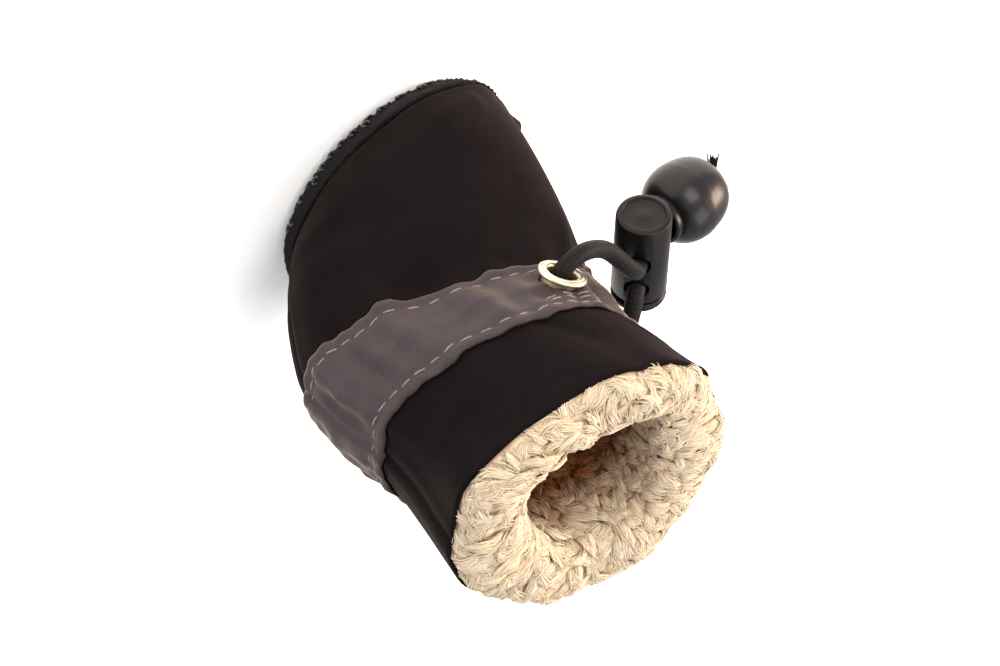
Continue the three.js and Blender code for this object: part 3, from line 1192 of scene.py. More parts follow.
# ---- Fleece --------------------------------------------------------------------------------------
@dataclass
class Lining:
    """The fleece wall behind the shell, with its swollen rim and its curly locks of pile."""

    last: Last
    shell: Shell
    sides: int = 340
    rim_length: float = 11.5  # millimetres of fleece over the rim
    wall_length: float = 62.0  # and down inside
    rim_share: float = 0.24
    depth: float = 6.55  # rows of the last from the rim down to the insole
    outer: float = -1.0
    inner: float = -8.3
    swell: float = 3.3
    mouth: float = 17.0  # middle radius of the fleece

    # Extra fleece where the slack mouth closes on itself: millimetres, angle and spread in degrees.
    slack_fleece: tuple[tuple[float, float, float], ...] = (
        (5.2, 195.0, 46.0), (2.4, 108.0, 36.0), (2.4, 282.0, 34.0), (2.6, 5.0, 42.0),
    )
    seed: int = 7

    # Locks: name, millimetres from and to, millimetres between them, fibres on each.
    pile: tuple[tuple[str, float, float, float, int], ...] = (
        ("rim", 0.4, 13.2, 1.6, 13), ("inside", 13.2, 43.0, 1.9, 10),
    )

    def profile(self, share: Array, angle: Array) -> tuple[Array, Array, Array]:
        """Cross-section of the wall, from the shell's edge over the rim and down inside.

        Args:
            share: 0 at the shell's edge, 1 at the bottom of the wall.
            angle: Angle round from the toe.

        Returns:
            Place, offset and lift of each point.
        """
        over = np.clip(share / self.rim_share, 0, 1) * math.pi
        down = np.clip((share - self.rim_share) / (1 - self.rim_share), 0, 1)
        swell = 0.0
        for extra, middle, spread in self.slack_fleece:
            swell = swell + extra * bell(wrapped(angle - math.radians(middle)), math.radians(spread))
        inner = self.inner - swell * (1 - 0.7 * down)
        middle = (self.outer + inner) / 2
        reach = (self.outer - inner) / 2
        return COLLAR - self.depth * down, middle + reach * np.cos(over), self.swell * np.sin(over) ** 0.8

    def share(self, length: Array) -> Array:
        """Share of the wall that lies so many millimetres from the shell's edge."""
        ends = [0.0, self.rim_length, self.rim_length + self.wall_length]
        return np.interp(length, ends, [0.0, self.rim_share, 1.0])

    def surface(self, share: Array, angle: Array) -> Array:
        """Points of the wall's face, without its lumps.

        Args:
            share: 0 at the shell's edge, 1 at the bottom of the wall.
            angle: Angles round from the toe, in radians.

        Returns:
            Points in millimetres.
        """
        place_, out, lift = self.profile(share, angle)
        fade = np.clip(1 - share / self.rim_share * 0.6, 0.25, 1)
        waves = self.shell.slack.waves(place_, angle) * fade
        uneven = 0.9 * np.sin(5 * angle + 1.2) + 0.6 * np.sin(9 * angle + 0.4)
        return self.last.skin(place_, angle, out + waves, lift * (1 + 0.12 * uneven))

    def frames(self, share: Array, angle: Array) -> tuple[Array, Array]:
        """Points of the wall's face and the direction out of it.

        Args:
            share: 0 at the shell's edge, 1 at the bottom of the wall.
            angle: Angles round from the toe, in radians.

        Returns:
            Points in millimetres, and unit vectors.
        """
        step = 0.004
        here = self.surface(share, angle)
        round_ = self.surface(share, angle + step) - here
        before, after = (self.surface(np.clip(share + way, 0, 1), angle) for way in (-step, step))
        return here, unit(np.cross(round_, after - before))

    @staticmethod
    def shade(share: Array, angle: Array) -> Array:
        """Painted shade of the pile, which makes it warm and dark from the rim (0) down to the insole (1).
        """
        start = 0.25 + 0.02 * np.cos(angle - math.radians(335))
        return np.clip((share - start) / 0.11, 0, 1)

    def roots(self, rng: np.random.Generator, low: float, high: float, pitch: float) -> tuple[Array, Array]:
        """Jittered places of the locks between two distances from the shell's edge.

        Args:
            rng: The seeded random numbers.
            low: First distance in millimetres.
            high: Last distance.
            pitch: Distance between locks.

        Returns:
            Distances and angles.
        """
        lengths, angles = [], []
        rows = round((high - low) / pitch)
        for row in range(rows):
            length = low + (row + 0.5) * pitch
            girth = 2 * math.pi * (ROUND - 0.55 * min(length, self.rim_length))
            count = round(girth / pitch)
            lengths.append(length + rng.uniform(-0.45, 0.45, count) * pitch)
            steps = np.arange(count) + 0.5 * (row % 2) + rng.uniform(-0.4, 0.4, count)
            angles.append(steps * 2 * math.pi / count)
        return np.concatenate(lengths), np.concatenate(angles)

    def combed(self, steps: Array, lock: dict[str, Array]) -> tuple[Array, Array, Array, Array]:
        """Points along locks that lie on the wall's face, combed up towards the rim's edge.

        Args:
            steps: Shares along a lock.
            lock: Root, angle, heading, reach, height, curl and tip of each lock.

        Returns:
            Points, directions to the side and out of the lock, and shares of the wall.
        """
        column = {name: value[:, None] for name, value in lock.items()}
        bend = column["heading"] + column["curl"] * steps
        run = column["reach"] * steps
        length = column["root"] - run * np.cos(bend)
        angle = column["angle"] + run * np.sin(bend) / self.mouth
        share = self.share(np.maximum(length, 0.0))
        here, normal = self.frames(share, angle)
        high = column["height"] * np.sin(math.pi * (0.08 + 0.8 * steps)) + column["tip"] * steps**3 - 0.35
        middle = here + normal * high[..., None]
        along = unit(np.gradient(middle, axis=1))
        side = unit(np.cross(normal, along))
        return middle, side, np.cross(along, side), share

    @staticmethod
    def taper(steps: Array) -> Array:
        """Width of a lock along its length, from its root over its belly to its tip."""
        return np.interp(steps, [0.0, 0.16, 0.4, 0.62, 0.82, 1.0], [0.6, 0.92, 1.0, 0.84, 0.52, 0.12])

    @staticmethod
    def around(spine: tuple[Array, Array, Array], width: Array, sides: int, flat: float) -> Array:
        """Rings of points round the middle lines of many locks or fibres.

        Args:
            spine: Middle points, and the directions to the side and up.
            width: Half widths, by lock, ring and side.
            sides: Points in a ring.
            flat: Half height as a share of the half width.

        Returns:
            Points by lock, ring and side.
        """
        middle, side, up = (part[:, :, None] for part in spine)
        corners = full_turn(sides)
        wide = side * (width * np.cos(corners))[..., None]
        return middle + wide + up * (width * flat * np.sin(corners))[..., None]

    def locks(
        self, name: str, rng: np.random.Generator, spots: tuple[Array, Array], fleece: Material
    ) -> dict[str, Array]:
        """Makes the bodies of the locks, tapered and ridged.

        Args:
            name: The piece's name.
            rng: The seeded random numbers.
            spots: Distances and angles of the locks.
            fleece: The fleece.

        Returns:
            The locks' values, for the fibres that lie on them.
        """
        root, angle = spots
        count = len(root)
        inward = root < 2.6
        # Neighbouring locks lean alike, in swirls, with some disorder on top.
        swirl = 0.5 * np.sin(9 * angle + 0.55 * root) + 0.3 * np.sin(19 * angle - 0.9 * root)
        swell = np.sin(14 * angle + 1.1 * root)
        grow = 0.25 + 0.75 * np.clip(root / 4, 0, 1)  # low at the shell's edge, full height 4 mm on
        lock = {
            "root": root,
            "angle": angle,
            "heading": swirl + rng.normal(0, 0.24, count) + np.where(inward, math.pi, 0.0),
            "reach": rng.uniform(2.8, 4.8, count) * np.where(inward, 0.7, 1.0),
            "height": (rng.uniform(0.7, 1.05, count) + 0.3 * swell) * grow,
            "curl": 0.7 * swell + rng.normal(0, 0.4, count),
            "tip": rng.uniform(-0.1, 0.45, count),
            "width": rng.uniform(0.6, 0.95, count),
        }
        steps = np.array([0.0, 0.16, 0.38, 0.6, 0.82, 1.0])
        middle, side, up, share = self.combed(steps, lock)
        sides = 8
        ridge = 1 + 0.15 * np.cos(4 * full_turn(sides) + math.pi)
        width = lock["width"][:, None, None] * self.taper(steps)[:, None] * ridge * 0.92
        piece = tubes(name, self.around((middle, side, up), width, sides, 0.5), (0.35, 0.7))
        # Painted shade: darker deeper in the boot and towards each lock's root; the uneven part differs at
        # random.
        uneven = rng.uniform(-0.05, 0.07, count)[:, None]
        shade = self.shade(share, lock["angle"][:, None]) + 0.16 * (1 - steps) ** 1.5 + uneven
        self.colour(piece, np.repeat(shade[..., None], sides, axis=-1))
        finished(piece, "fleece", fleece)
        return lock

    def fibres(
        self, name: str, rng: np.random.Generator, lock: dict[str, Array], each: int, fleece: Material
    ) -> None:
        """Makes fine fibres that lie along the top of each lock and stray a little at its tip.

        Args:
            name: The piece's name.
            rng: The seeded random numbers.
            lock: The locks' values.
            each: Fibres on a lock.
            fleece: The fleece.
        """
        fibre = {key: np.repeat(value, each) for key, value in lock.items()}
        count = len(fibre["root"])
        fibre["reach"] = fibre["reach"] * rng.uniform(0.8, 1.12, count)
        fibre["curl"] = fibre["curl"] + rng.normal(0, 0.16, count)
        steps = np.array([0.0, 0.3, 0.66, 1.0])
        middle, side, up, share = self.combed(steps, fibre)
        turn_ = rng.uniform(-0.12, 1.12, count)[:, None] * math.pi
        reach = fibre["width"][:, None] * self.taper(steps * 0.94)
        stray = rng.normal(0, 0.22, (count, 1)) * steps**2
        wave = 0.1 * np.sin(6.5 * steps + rng.uniform(0, 6.3, (count, 1)))
        across = reach * np.cos(turn_) + stray + wave
        over = reach * 0.55 * np.sin(turn_) + rng.uniform(0.0, 0.3, (count, 1)) * steps**2
        middle = middle + side * across[..., None] + up * over[..., None]
        width = rng.uniform(0.09, 0.16, count)[:, None, None] * np.array([0.9, 1.0, 0.8, 0.25])[:, None]
        sides = 4
        piece = tubes(name, self.around((middle, side, up), width, sides, 1.0), (0.1, 1.2))
        # Painted shade: darker deeper in the boot and towards each fibre's root; the uneven part differs at
        # random.
        uneven = rng.uniform(-0.12, 0.06, count)[:, None]
        shade = self.shade(share, fibre["angle"][:, None]) + 0.1 * (1 - steps) + uneven
        self.colour(piece, np.repeat(shade[..., None], sides, axis=-1))
        finished(piece, "fleece", fleece)

    @staticmethod
    def colour(piece: Piece, shade: Array) -> None:
        """Stores the painted shade of each point as its depth attribute, for the fleece to read."""
        attribute = piece.data.attributes.new("depth", "FLOAT", "POINT")
        attribute.data.foreach_set("value", np.clip(shade, 0, 1).ravel().astype(np.float32))

    def wall(self, fleece: Material) -> Piece:
        """Makes the wall under the locks, softly lumpy.

        Args:
            fleece: The fleece.

        Returns:
            The finished piece.
        """
        angle = full_turn(self.sides)[None]
        share = self.share(np.linspace(0, self.rim_length + self.wall_length, 96))[:, None]
        here, normal = self.frames(share, angle)
        lump = 0.3 * np.sin(23 * angle + 9 * np.sin(40 * share))
        lump = lump * np.sin(58 * share + 3 * np.sin(11 * angle))
        face = here + normal * (lump * np.clip(share / 0.04, 0, 1))[..., None]
        back_place = np.linspace(COLLAR - self.depth, COLLAR - 0.1, 14)[:, None]
        back = self.last.skin(back_place, angle, self.shell.skin(back_place, angle) - self.shell.thick - 0.1)
        piece = loft("fleece_lining", np.concatenate([back, face]), True, (0.35, 0.75))
        # Painted shade: the face is a little darker than the locks, for the gaps between them, and the
        # hidden back gets the full brown.
        painted_deep_shade = np.broadcast_to(self.shade(share, angle) + 0.2, face.shape[:2])
        self.colour(piece, np.concatenate([np.ones(back.shape[:2]), painted_deep_shade]))
        return finished(piece, "fleece", fleece)

    def build(self, fleece: Material) -> None:
        """Makes the wall, its locks and their fibres.

        Args:
            fleece: The fleece.
        """
        rng = np.random.default_rng(self.seed)
        self.wall(fleece)
        for name, low, high, pitch, each in self.pile:
            lock = self.locks(f"fleece_locks_{name}", rng, self.roots(rng, low, high, pitch), fleece)
            self.fibres(f"fleece_fibres_{name}", rng, lock, each, fleece)


@dataclass
class Insole:
    """A fleece pad in the bottom, dished by the paw."""

    last: Last
    sides: int = 160
    rows: tuple[tuple[float, float, float], ...] = (
        # z, front inset, rest inset
        (2.1, 6.6, 4.8),
        (3.2, 3.5, 2.8),
        (4.6, 2.3, 2.3),
        (4.7, 8.0, 8.0),
        (7.2, 10.6, 8.4),
        (8.0, 12.4, 9.8),
    )
    seed: int = 11

    def build(self, fleece: Material) -> Piece:
        """Makes the pad with a lumpy top.

        Args:
            fleece: The fleece.

        Returns:
            The finished piece.
        """
        angle = full_turn(self.sides)[None]
        rings = [sole_ring(self.last, z, angle, -front, -rest) for z, front, rest in self.rows]
        edge = rings[-1]
        rng = np.random.default_rng(self.seed)
        for share in np.linspace(0.93, 0.04, 18):
            lumps = 0.35 * rng.standard_normal(self.sides)[None, :, None]
            inner = shrunk(edge, share)
            dish = 0.5 * (1 - share) * share * 4 - 0.8 * (1 - share) ** 2
            inner[..., 2:] += dish + lumps * min(1.0, share * 3)
            rings.append(inner)
        piece = loft("insole_pad", np.concatenate(rings), False, (0.6, 0.6))
        # Painted shade: the whole pad gets three quarters of the deep brown, for the bottom of the boot.
        Lining.colour(piece, np.full(len(piece.data.vertices), 0.75))
        return finished(piece, "fleece", fleece, "insole")


# ---- Sole ----------------------------------------------------------------------------------------
def sole_ring(last: Last, z: Array, angle: Array, front: Array, rest: Array) -> Array:
    """Ring of the sole: the seam's outline at another height, moved out at the toe and elsewhere.

    Args:
        last: The last.
        z: Height of the ring.
        angle: Angles round from the toe, in radians.
        front: How far it stands out at the toe.
        rest: How far it stands out elsewhere.

    Returns:
        Points in millimetres.
    """
    ring = last.skin(np.zeros_like(np.asarray(angle, float)), angle, rest, 0.0, front)
    ring[..., 2] = z
    return ring


@dataclass
class Sole:
    """The knit outsole with its turned-up edge, and the rubber drops printed on it."""

    last: Last
    sides: int = 400
    rib: float = 1.35
    rib_height: float = 0.26
    drop: float = 0.62  # middle radius of each drop's ring
    tread: float = 0.42  # height of the knit over the floor, and of a drop's top over the knit
    bead: float = 0.27  # radius of the rubber line that makes a drop
    pitch: float = 2.2  # from drop to drop

    # Outline from the tread up to the seam, and back down the inside: z, front inset, rest inset.
    outer: tuple[tuple[float, float, float], ...] = (
        (0.42, 9.0, 7.0), (0.42, 6.6, 4.7), (0.75, 4.9, 3.5), (1.2, 3.4, 2.3), (1.9, 2.2, 1.4),
        (2.8, 1.2, 0.8), (3.8, 0.5, 0.35), (4.7, 0.0, 0.0), (5.0, 0.35, 0.35),
    )
    inner: tuple[tuple[float, float, float], ...] = (
        (4.6, 1.6, 1.6), (3.0, 2.8, 2.1), (1.8, 6.0, 4.2), (1.8, 12.0, 10.0),
    )

    def face(self, share: Array) -> tuple[Array, Array, Array]:
        """Height and insets along the outline, smoothed.

        Args:
            share: 0 at the tread's edge, 1 at the seam.

        Returns:
            z, front inset and rest inset.
        """
        table = np.array(self.outer)
        at = np.linspace(0, 1, len(table))
        return tuple(np.interp(share, at, table[:, k]) for k in range(3))

    def knit(self, material: Material) -> Piece:
        """Makes the knit: ribs run from heel to toe across the tread and up the edge.

        Args:
            material: The knit.

        Returns:
            The finished piece.
        """
        angle = full_turn(self.sides)[None]
        rings = []
        for share in np.linspace(0, 1, 34):
            z, front, rest = self.face(share)
            rings.append(sole_ring(self.last, z, angle, -front, -rest))
        tread = [shrunk(rings[0], share) for share in np.linspace(0.02, 0.985, 40)]
        outside = np.concatenate(tread + rings)
        phase = 2 * math.pi * outside[..., 1] / self.rib
        ribs = self.rib_height * (0.5 + 0.5 * np.cos(phase)) - self.rib_height
        upright = np.clip((outside[..., 2] - self.tread) / 1.5, 0, 1)
        outside[..., 2] -= ribs * (1 - upright)
        away = outside - outside.mean(axis=(0, 1))
        away[..., 2] = 0
        outside += unit(away) * (ribs * upright)[..., None]
        inside = [sole_ring(self.last, z, angle, -front, -rest) for z, front, rest in self.inner]
        floor = [shrunk(inside[-1], share) for share in (0.6, 0.25, 0.02)]
        piece = loft("knit_sole", np.concatenate([outside, *inside, *floor]), False, (0.32, 0.6))
        return finished(piece, "knit_sole", material, "outsole")

    def drops(self, rubber: Material) -> Piece:
        """Makes the rubber drops: small broken rings in rows across the sole and up its edge.

        Args:
            rubber: The rubber.

        Returns:
            The finished piece.
        """
        sides, steps = 6, 11
        arc = np.linspace(math.radians(35), math.radians(325), steps)
        path = np.stack([np.cos(arc), np.sin(arc), np.zeros(steps)], axis=-1) * self.drop
        radius = np.full((steps, sides), self.bead)
        radius[[0, -1]] = 0.12
        angle = full_turn(sides)
        spoke = path / self.drop
        rise = np.array([0.0, 0.0, 1.0])
        rings = path[:, None] + radius[..., None] * (
            spoke[:, None] * np.cos(angle)[None, :, None] + rise * np.sin(angle)[None, :, None]
        )
        frames = []
        across = np.arange(-8, 9) * self.pitch
        for row, x in enumerate(np.arange(-10.0, 36.0, self.pitch)):
            shift = 0.0 if row % 2 else self.pitch / 2
            for y in across + shift:
                found = self.under(x, y)
                if found is not None:
                    frames.append(found)
        frames = np.array(frames)
        low = np.einsum("rsk,nk->nrs", rings, frames[:, :3, 2]).min(axis=(1, 2)) + frames[:, 3, 2]
        frames[:, 3, 2] += np.maximum(0.0, -low)
        piece = copies("rubber_drops", rings, frames)
        outwards(piece)
        return finished(piece, "knit_sole", rubber)

    def under(self, x: float, y: float) -> Array | None:
        """Frame of a drop on the sole's underside, or nothing where the sole ends.

        Args:
            x: Place along the boot.
            y: Place across it.

        Returns:
            Its x, y and z directions and its place, or None.
        """
        seam = self.last.table[0]
        reach = seam[3] if x > seam[0] else seam[4]
        share = math.hypot((x - seam[0]) / reach, y / seam[5])
        if share > 0.965:
            return None
        table = np.array(self.outer)
        inset = (1 - share) * seam[5]
        height = float(np.interp(inset, table[::-1, 2], table[::-1, 0]))
        slope = float(np.interp(inset - 0.4, table[::-1, 2], table[::-1, 0])) - height
        outward = Vector(((x - seam[0]) / reach, y / seam[5], 0)).normalized()
        normal = (Vector((0, 0, -1)) * 0.4 + outward * max(slope, 0.0) * 0.9).normalized()
        first = Vector((1, 0, 0)).cross(normal).normalized()
        second = normal.cross(first)
        top = Vector((x, y, height)) + normal * (self.tread - self.bead)
        return np.array([first, second, normal, top])

    def build(self, knit: Material, rubber: Material) -> None:
        """Makes the knit and its rubber."""
        self.knit(knit)
        self.drops(rubber)


# ---- Band ----------------------------------------------------------------------------------------
@dataclass
class Eyelet:
    """One rolled metal eyelet, seated on the band."""

    last: Last
    side: Side
    angle: float = 64.0
    hole: float = 2.5
    flange: float = 4.1
    foot: float = 2.4
    height: float = 3.4
    barrel: float = 3.0

    @property
    def seat(self) -> Vector:
        """Where its axis meets the last."""
        return Vector(self.last.skin(float(DRAWCORD), math.radians(self.angle) * self.side.value))

    @property
    def axis(self) -> Vector:
        """Its outward direction."""
        return self.last.normal(float(DRAWCORD), math.radians(self.angle) * self.side.value)

    def build(self, nickel: Material) -> Piece:
        """Turns the eyelet: a barrel, a flat flange and a rolled inner lip.

        Args:
            nickel: The plated metal.

        Returns:
            The finished piece.
        """
        roll = 0.62
        lip = [
            (self.hole + roll - roll * math.cos(a), self.height - roll + roll * math.sin(a))
            for a in np.linspace(0, math.pi * 0.8, 7)
        ]
        crown = [
            (self.flange - 0.4 + 0.4 * math.cos(a), self.foot + 0.42 + 0.4 * math.sin(a))
            for a in np.linspace(math.pi * 0.45, -math.pi * 0.5, 7)
        ]
        profile = [(self.hole, 0.6), *lip, *crown, (self.barrel, self.foot), (self.barrel, 0.6)]
        name = f"rolled_eyelet_{self.side.name.lower()}"
        piece = turn(name, profile, 48, True)
        place(piece, axis_matrix(self.seat, self.axis))
        smooth(piece, 50)
        return finished(piece, "eyelet_metal", nickel, f"eyelet_{self.side.name.lower()}")


@dataclass
class Band:
    """The reflective cloth tunnel round the shaft, with its stitches."""

    last: Last
    slack: Slack
    eyelets: list[Eyelet]
    sides: int = 360
    rows: int = 46
    under: float = 0.25
    deepest: float = -1.4  # the shell's gathers go deeper than this, but the band does not
    stitch_length: float = 2.1
    stitch_pitch: float = 2.7
    stitch_width: float = 0.18
    hem: float = 0.12  # share of the width from each edge to its stitches

    # Thickness across the band: share of the width, millimetres.
    section: tuple[tuple[float, float], ...] = (
        (0.0, 0.35), (0.04, 0.75), (0.12, 0.5), (0.2, 0.95), (0.36, 1.25), (0.5, 1.7), (0.64, 1.25),
        (0.8, 0.95), (0.88, 0.5), (0.96, 0.75), (1.0, 0.35),
    )

    # Where the edges are drawn up or down: degrees, low edge, high edge, in rows of the last.
    wander: tuple[tuple[float, float, float], ...] = (
        (0, 0.03, 0.0), (28, -0.03, 0.03), (47, 0.02, -0.02), (54, 0.17, -0.05), (63, 0.21, -0.06),
        (76, 0.16, -0.02), (86, 0.17, 0.02), (91, 0.27, 0.0), (97, 0.29, 0.04), (108, 0.2, 0.03),
        (114, 0.16, -0.03), (118, 0.0, -0.02), (124, -0.03, 0.05), (137, 0.03, 0.03), (152, -0.14, -0.04),
        (165, -0.18, 0.0), (180, -0.1, 0.04), (197, -0.04, -0.02), (216, 0.04, 0.03), (228, -0.02, 0.05),
        (234, 0.15, -0.02), (250, 0.18, 0.03), (263, 0.24, 0.0), (270, 0.12, 0.04), (284, 0.16, -0.03),
        (298, 0.2, -0.06), (309, 0.12, -0.04), (318, -0.02, 0.03), (338, 0.02, 0.0), (360, 0.03, 0.0),
    )

    def edges(self, angle: Array) -> tuple[Array, Array]:
        """Places of the band's low and high edges, which wander and step a little.

        Args:
            angle: Angles round from the toe, in radians.

        Returns:
            Places of the low edge and of the high edge.
        """
        table = np.array(self.wander)
        degrees = np.degrees(np.mod(angle, 2 * math.pi))
        ripple = 0.012 * np.sin(37 * angle)
        low = BAND_LOW + np.interp(degrees, table[:, 0], table[:, 1]) + ripple
        high = BAND_HIGH + np.interp(degrees, table[:, 0], table[:, 2]) - ripple
        return low, high

    def drag_edges(self, low: Array, high: Array, angle: Array) -> tuple[Array, Array]:
        """The edges again, drawn in beside each eyelet.

        Args:
            low: Places of the low edge.
            high: Places of the high edge.
            angle: Angles round from the toe, in radians.

        Returns:
            Both edges.
        """
        for eyelet in self.eyelets:
            centre = math.radians(eyelet.angle) * eyelet.side.value
            pull = bell(wrapped(angle - centre), 0.42)
            low = low + 0.05 * pull
            high = high - 0.08 * pull
        return low, high

    def drag(self, place: Array, angle: Array) -> Array:
        """Folds that run out from each eyelet, where the cord pulls at the cloth.

        Args:
            place: Places on the last.
            angle: Angles round from the toe, in radians.

        Returns:
            Millimetres off the last.
        """
        out = np.zeros(np.broadcast(place, angle).shape)
        for eyelet in self.eyelets:
            centre = math.radians(eyelet.angle) * eyelet.side.value
            u = wrapped(angle - centre) * ROUND
            v = (place - DRAWCORD) * RISE
            away = np.hypot(u, v)
            spokes = np.cos(5 * np.arctan2(v, u) + 0.9 * eyelet.side.value)
            ring = bell(away - 8.0, 4.0)
            pad = np.exp(-((away / 4.6) ** 4))
            out += 0.5 * spokes * ring + 0.35 * pad
        return out

    def top(self, share: Array, angle: Array) -> tuple[Array, Array]:
        """Place and offset of the band's outer face.

        Args:
            share: 0 at the low edge, 1 at the high edge.
            angle: Angle round from the toe.

        Returns:
            Place and offset.
        """
        low, high = self.drag_edges(*self.edges(angle), angle)
        place_ = low + (high - low) * share
        at, height = np.array(self.section).T
        thick = np.interp(share, at, height)
        ripple = 0.16 * np.sin(31 * angle + 3 * share) * np.clip(np.abs(share - 0.5) * 2.4 - 0.6, 0, 1)
        ripple = ripple + 0.16 * np.sin(9 * angle + 8 * share) * np.sin(21 * angle - 13 * share + 1.3)
        inside = bell(share - 0.5, 0.32)
        base = np.maximum(self.slack.out(place_, angle), self.deepest)
        return place_, base + self.under + thick + ripple + self.drag(place_, angle) * inside

    def cloth(self, tape: Material) -> Piece:
        """Makes the band and cuts the eyelets' holes.

        Args:
            tape: The reflective cloth.

        Returns:
            The finished piece.
        """
        angle = round_angles(self.sides)[None]
        share = np.linspace(0, 1, self.rows)[:, None]
        place_, out = self.top(share, angle)
        back = np.linspace(1, 0, 10)[:, None]
        under_place, _ = self.top(back, angle)
        under = np.maximum(self.slack.out(under_place, angle), self.deepest) + self.under
        faces = (place_, out), (under_place, under)
        rings = np.concatenate([self.last.skin(at, angle, off) for at, off in faces])
        piece = loft("reflective_tunnel_band", rings, True, (ROUND * 2 * math.pi / self.sides, 0.4))
        for eyelet in self.eyelets:
            drill(piece, rod(eyelet.barrel + 0.25, 14.0, 32, axis_matrix(eyelet.seat, eyelet.axis)))
        return finished(piece, "reflective_cloth", tape, "reflective_band")

    def stitch_frames(self, share: float, start: float, end: float, pitch: float) -> list[Array]:
        """Frames of a run of stitches along the band.

        Args:
            share: Place across the band.
            start: First angle.
            end: Last angle.
            pitch: Millimetres from stitch to stitch.

        Returns:
            A frame for each stitch.
        """
        count = round((end - start) * ROUND / pitch)
        frames = []
        for angle in start + (np.arange(count) + 0.5) * (end - start) / count:
            near = angle + np.array([-0.02, 0.0, 0.02])
            place_, out = self.top(share, near)
            points = self.last.skin(place_, near, out)
            along = Vector(points[2] - points[0]).normalized()
            up = self.last.normal(float(place_[1]), float(angle))
            across = up.cross(along).normalized()
            frames.append(np.array([along, across, up, Vector(points[1]) + up * 0.06]))
        return frames

    def stitches(self, thread: Material) -> Piece:
        """Makes the rows of stitches, with doubled rows below the eyelets.

        Args:
            thread: The sewing thread.

        Returns:
            The finished piece.
        """
        sides = 6
        ends = np.linspace(0, math.pi, 7)
        radius = np.maximum(np.sin(ends) ** 0.5, 0.12) * self.stitch_width
        path = -np.cos(ends) * self.stitch_length / 2
        angle = full_turn(sides)
        dip = 0.12 * (np.abs(path[:, None]) / self.stitch_length * 2) ** 2
        along = np.broadcast_to(path[:, None], (len(ends), sides))
        round_ = radius[:, None] * np.cos(angle), radius[:, None] * np.sin(angle) - dip
        rings = np.stack([along, *round_], axis=-1)
        frames = []
        for share in (self.hem, 1 - self.hem):
            frames += self.stitch_frames(share, 0.12, 2 * math.pi - 0.12, self.stitch_pitch)
        for eyelet in self.eyelets:
            middle = math.radians(eyelet.angle) * eyelet.side.value
            for share in (0.72, 0.79):
                frames += self.stitch_frames(share, middle - 0.26, middle + 0.26, self.stitch_pitch)
        piece = copies("band_stitches", rings, np.array(frames))
        outwards(piece)
        return finished(piece, "reflective_cloth", thread)

    def build(self, tape: Material, thread: Material) -> None:
        """Makes the band and its stitches."""
        self.cloth(tape)
        self.stitches(thread)


# ---- Drawcord, lock and bead ---------------------------------------------------------------------
def drooping(degrees: float) -> Vector:
    """Unit direction towards the toe that falls by an angle."""
    return Vector((math.cos(math.radians(degrees)), 0, -math.sin(math.radians(degrees))))


def catmull_rom(points: list[Vector], steps: int) -> Array:
    """Points along the centripetal curve through a few points.

    Args:
        points: The curve's own points.
        steps: How many points to return, less one.

    Returns:
        Points by step.
    """
    known = [2 * points[0] - points[1], *points, 2 * points[-1] - points[-2]]
    found = []
    for step in range(steps + 1):
        at = step / steps * (len(points) - 1)
        low = min(int(at), len(points) - 2)
        rest = at - low
        a, b, c, d = known[low:low + 4]
        before, during, after = ((q - p).length ** 0.5 for p, q in ((a, b), (b, c), (c, d)))
        leave = ((b - a) / before - (c - a) / (before + during) + (c - b) / during) * during
        reach = ((c - b) / during - (d - b) / (during + after) + (d - c) / after) * during
        found.append(
            b + leave * rest + (-3 * b + 3 * c - 2 * leave - reach) * rest**2
            + (2 * b - 2 * c + leave + reach) * rest**3
        )
    return np.array(found)


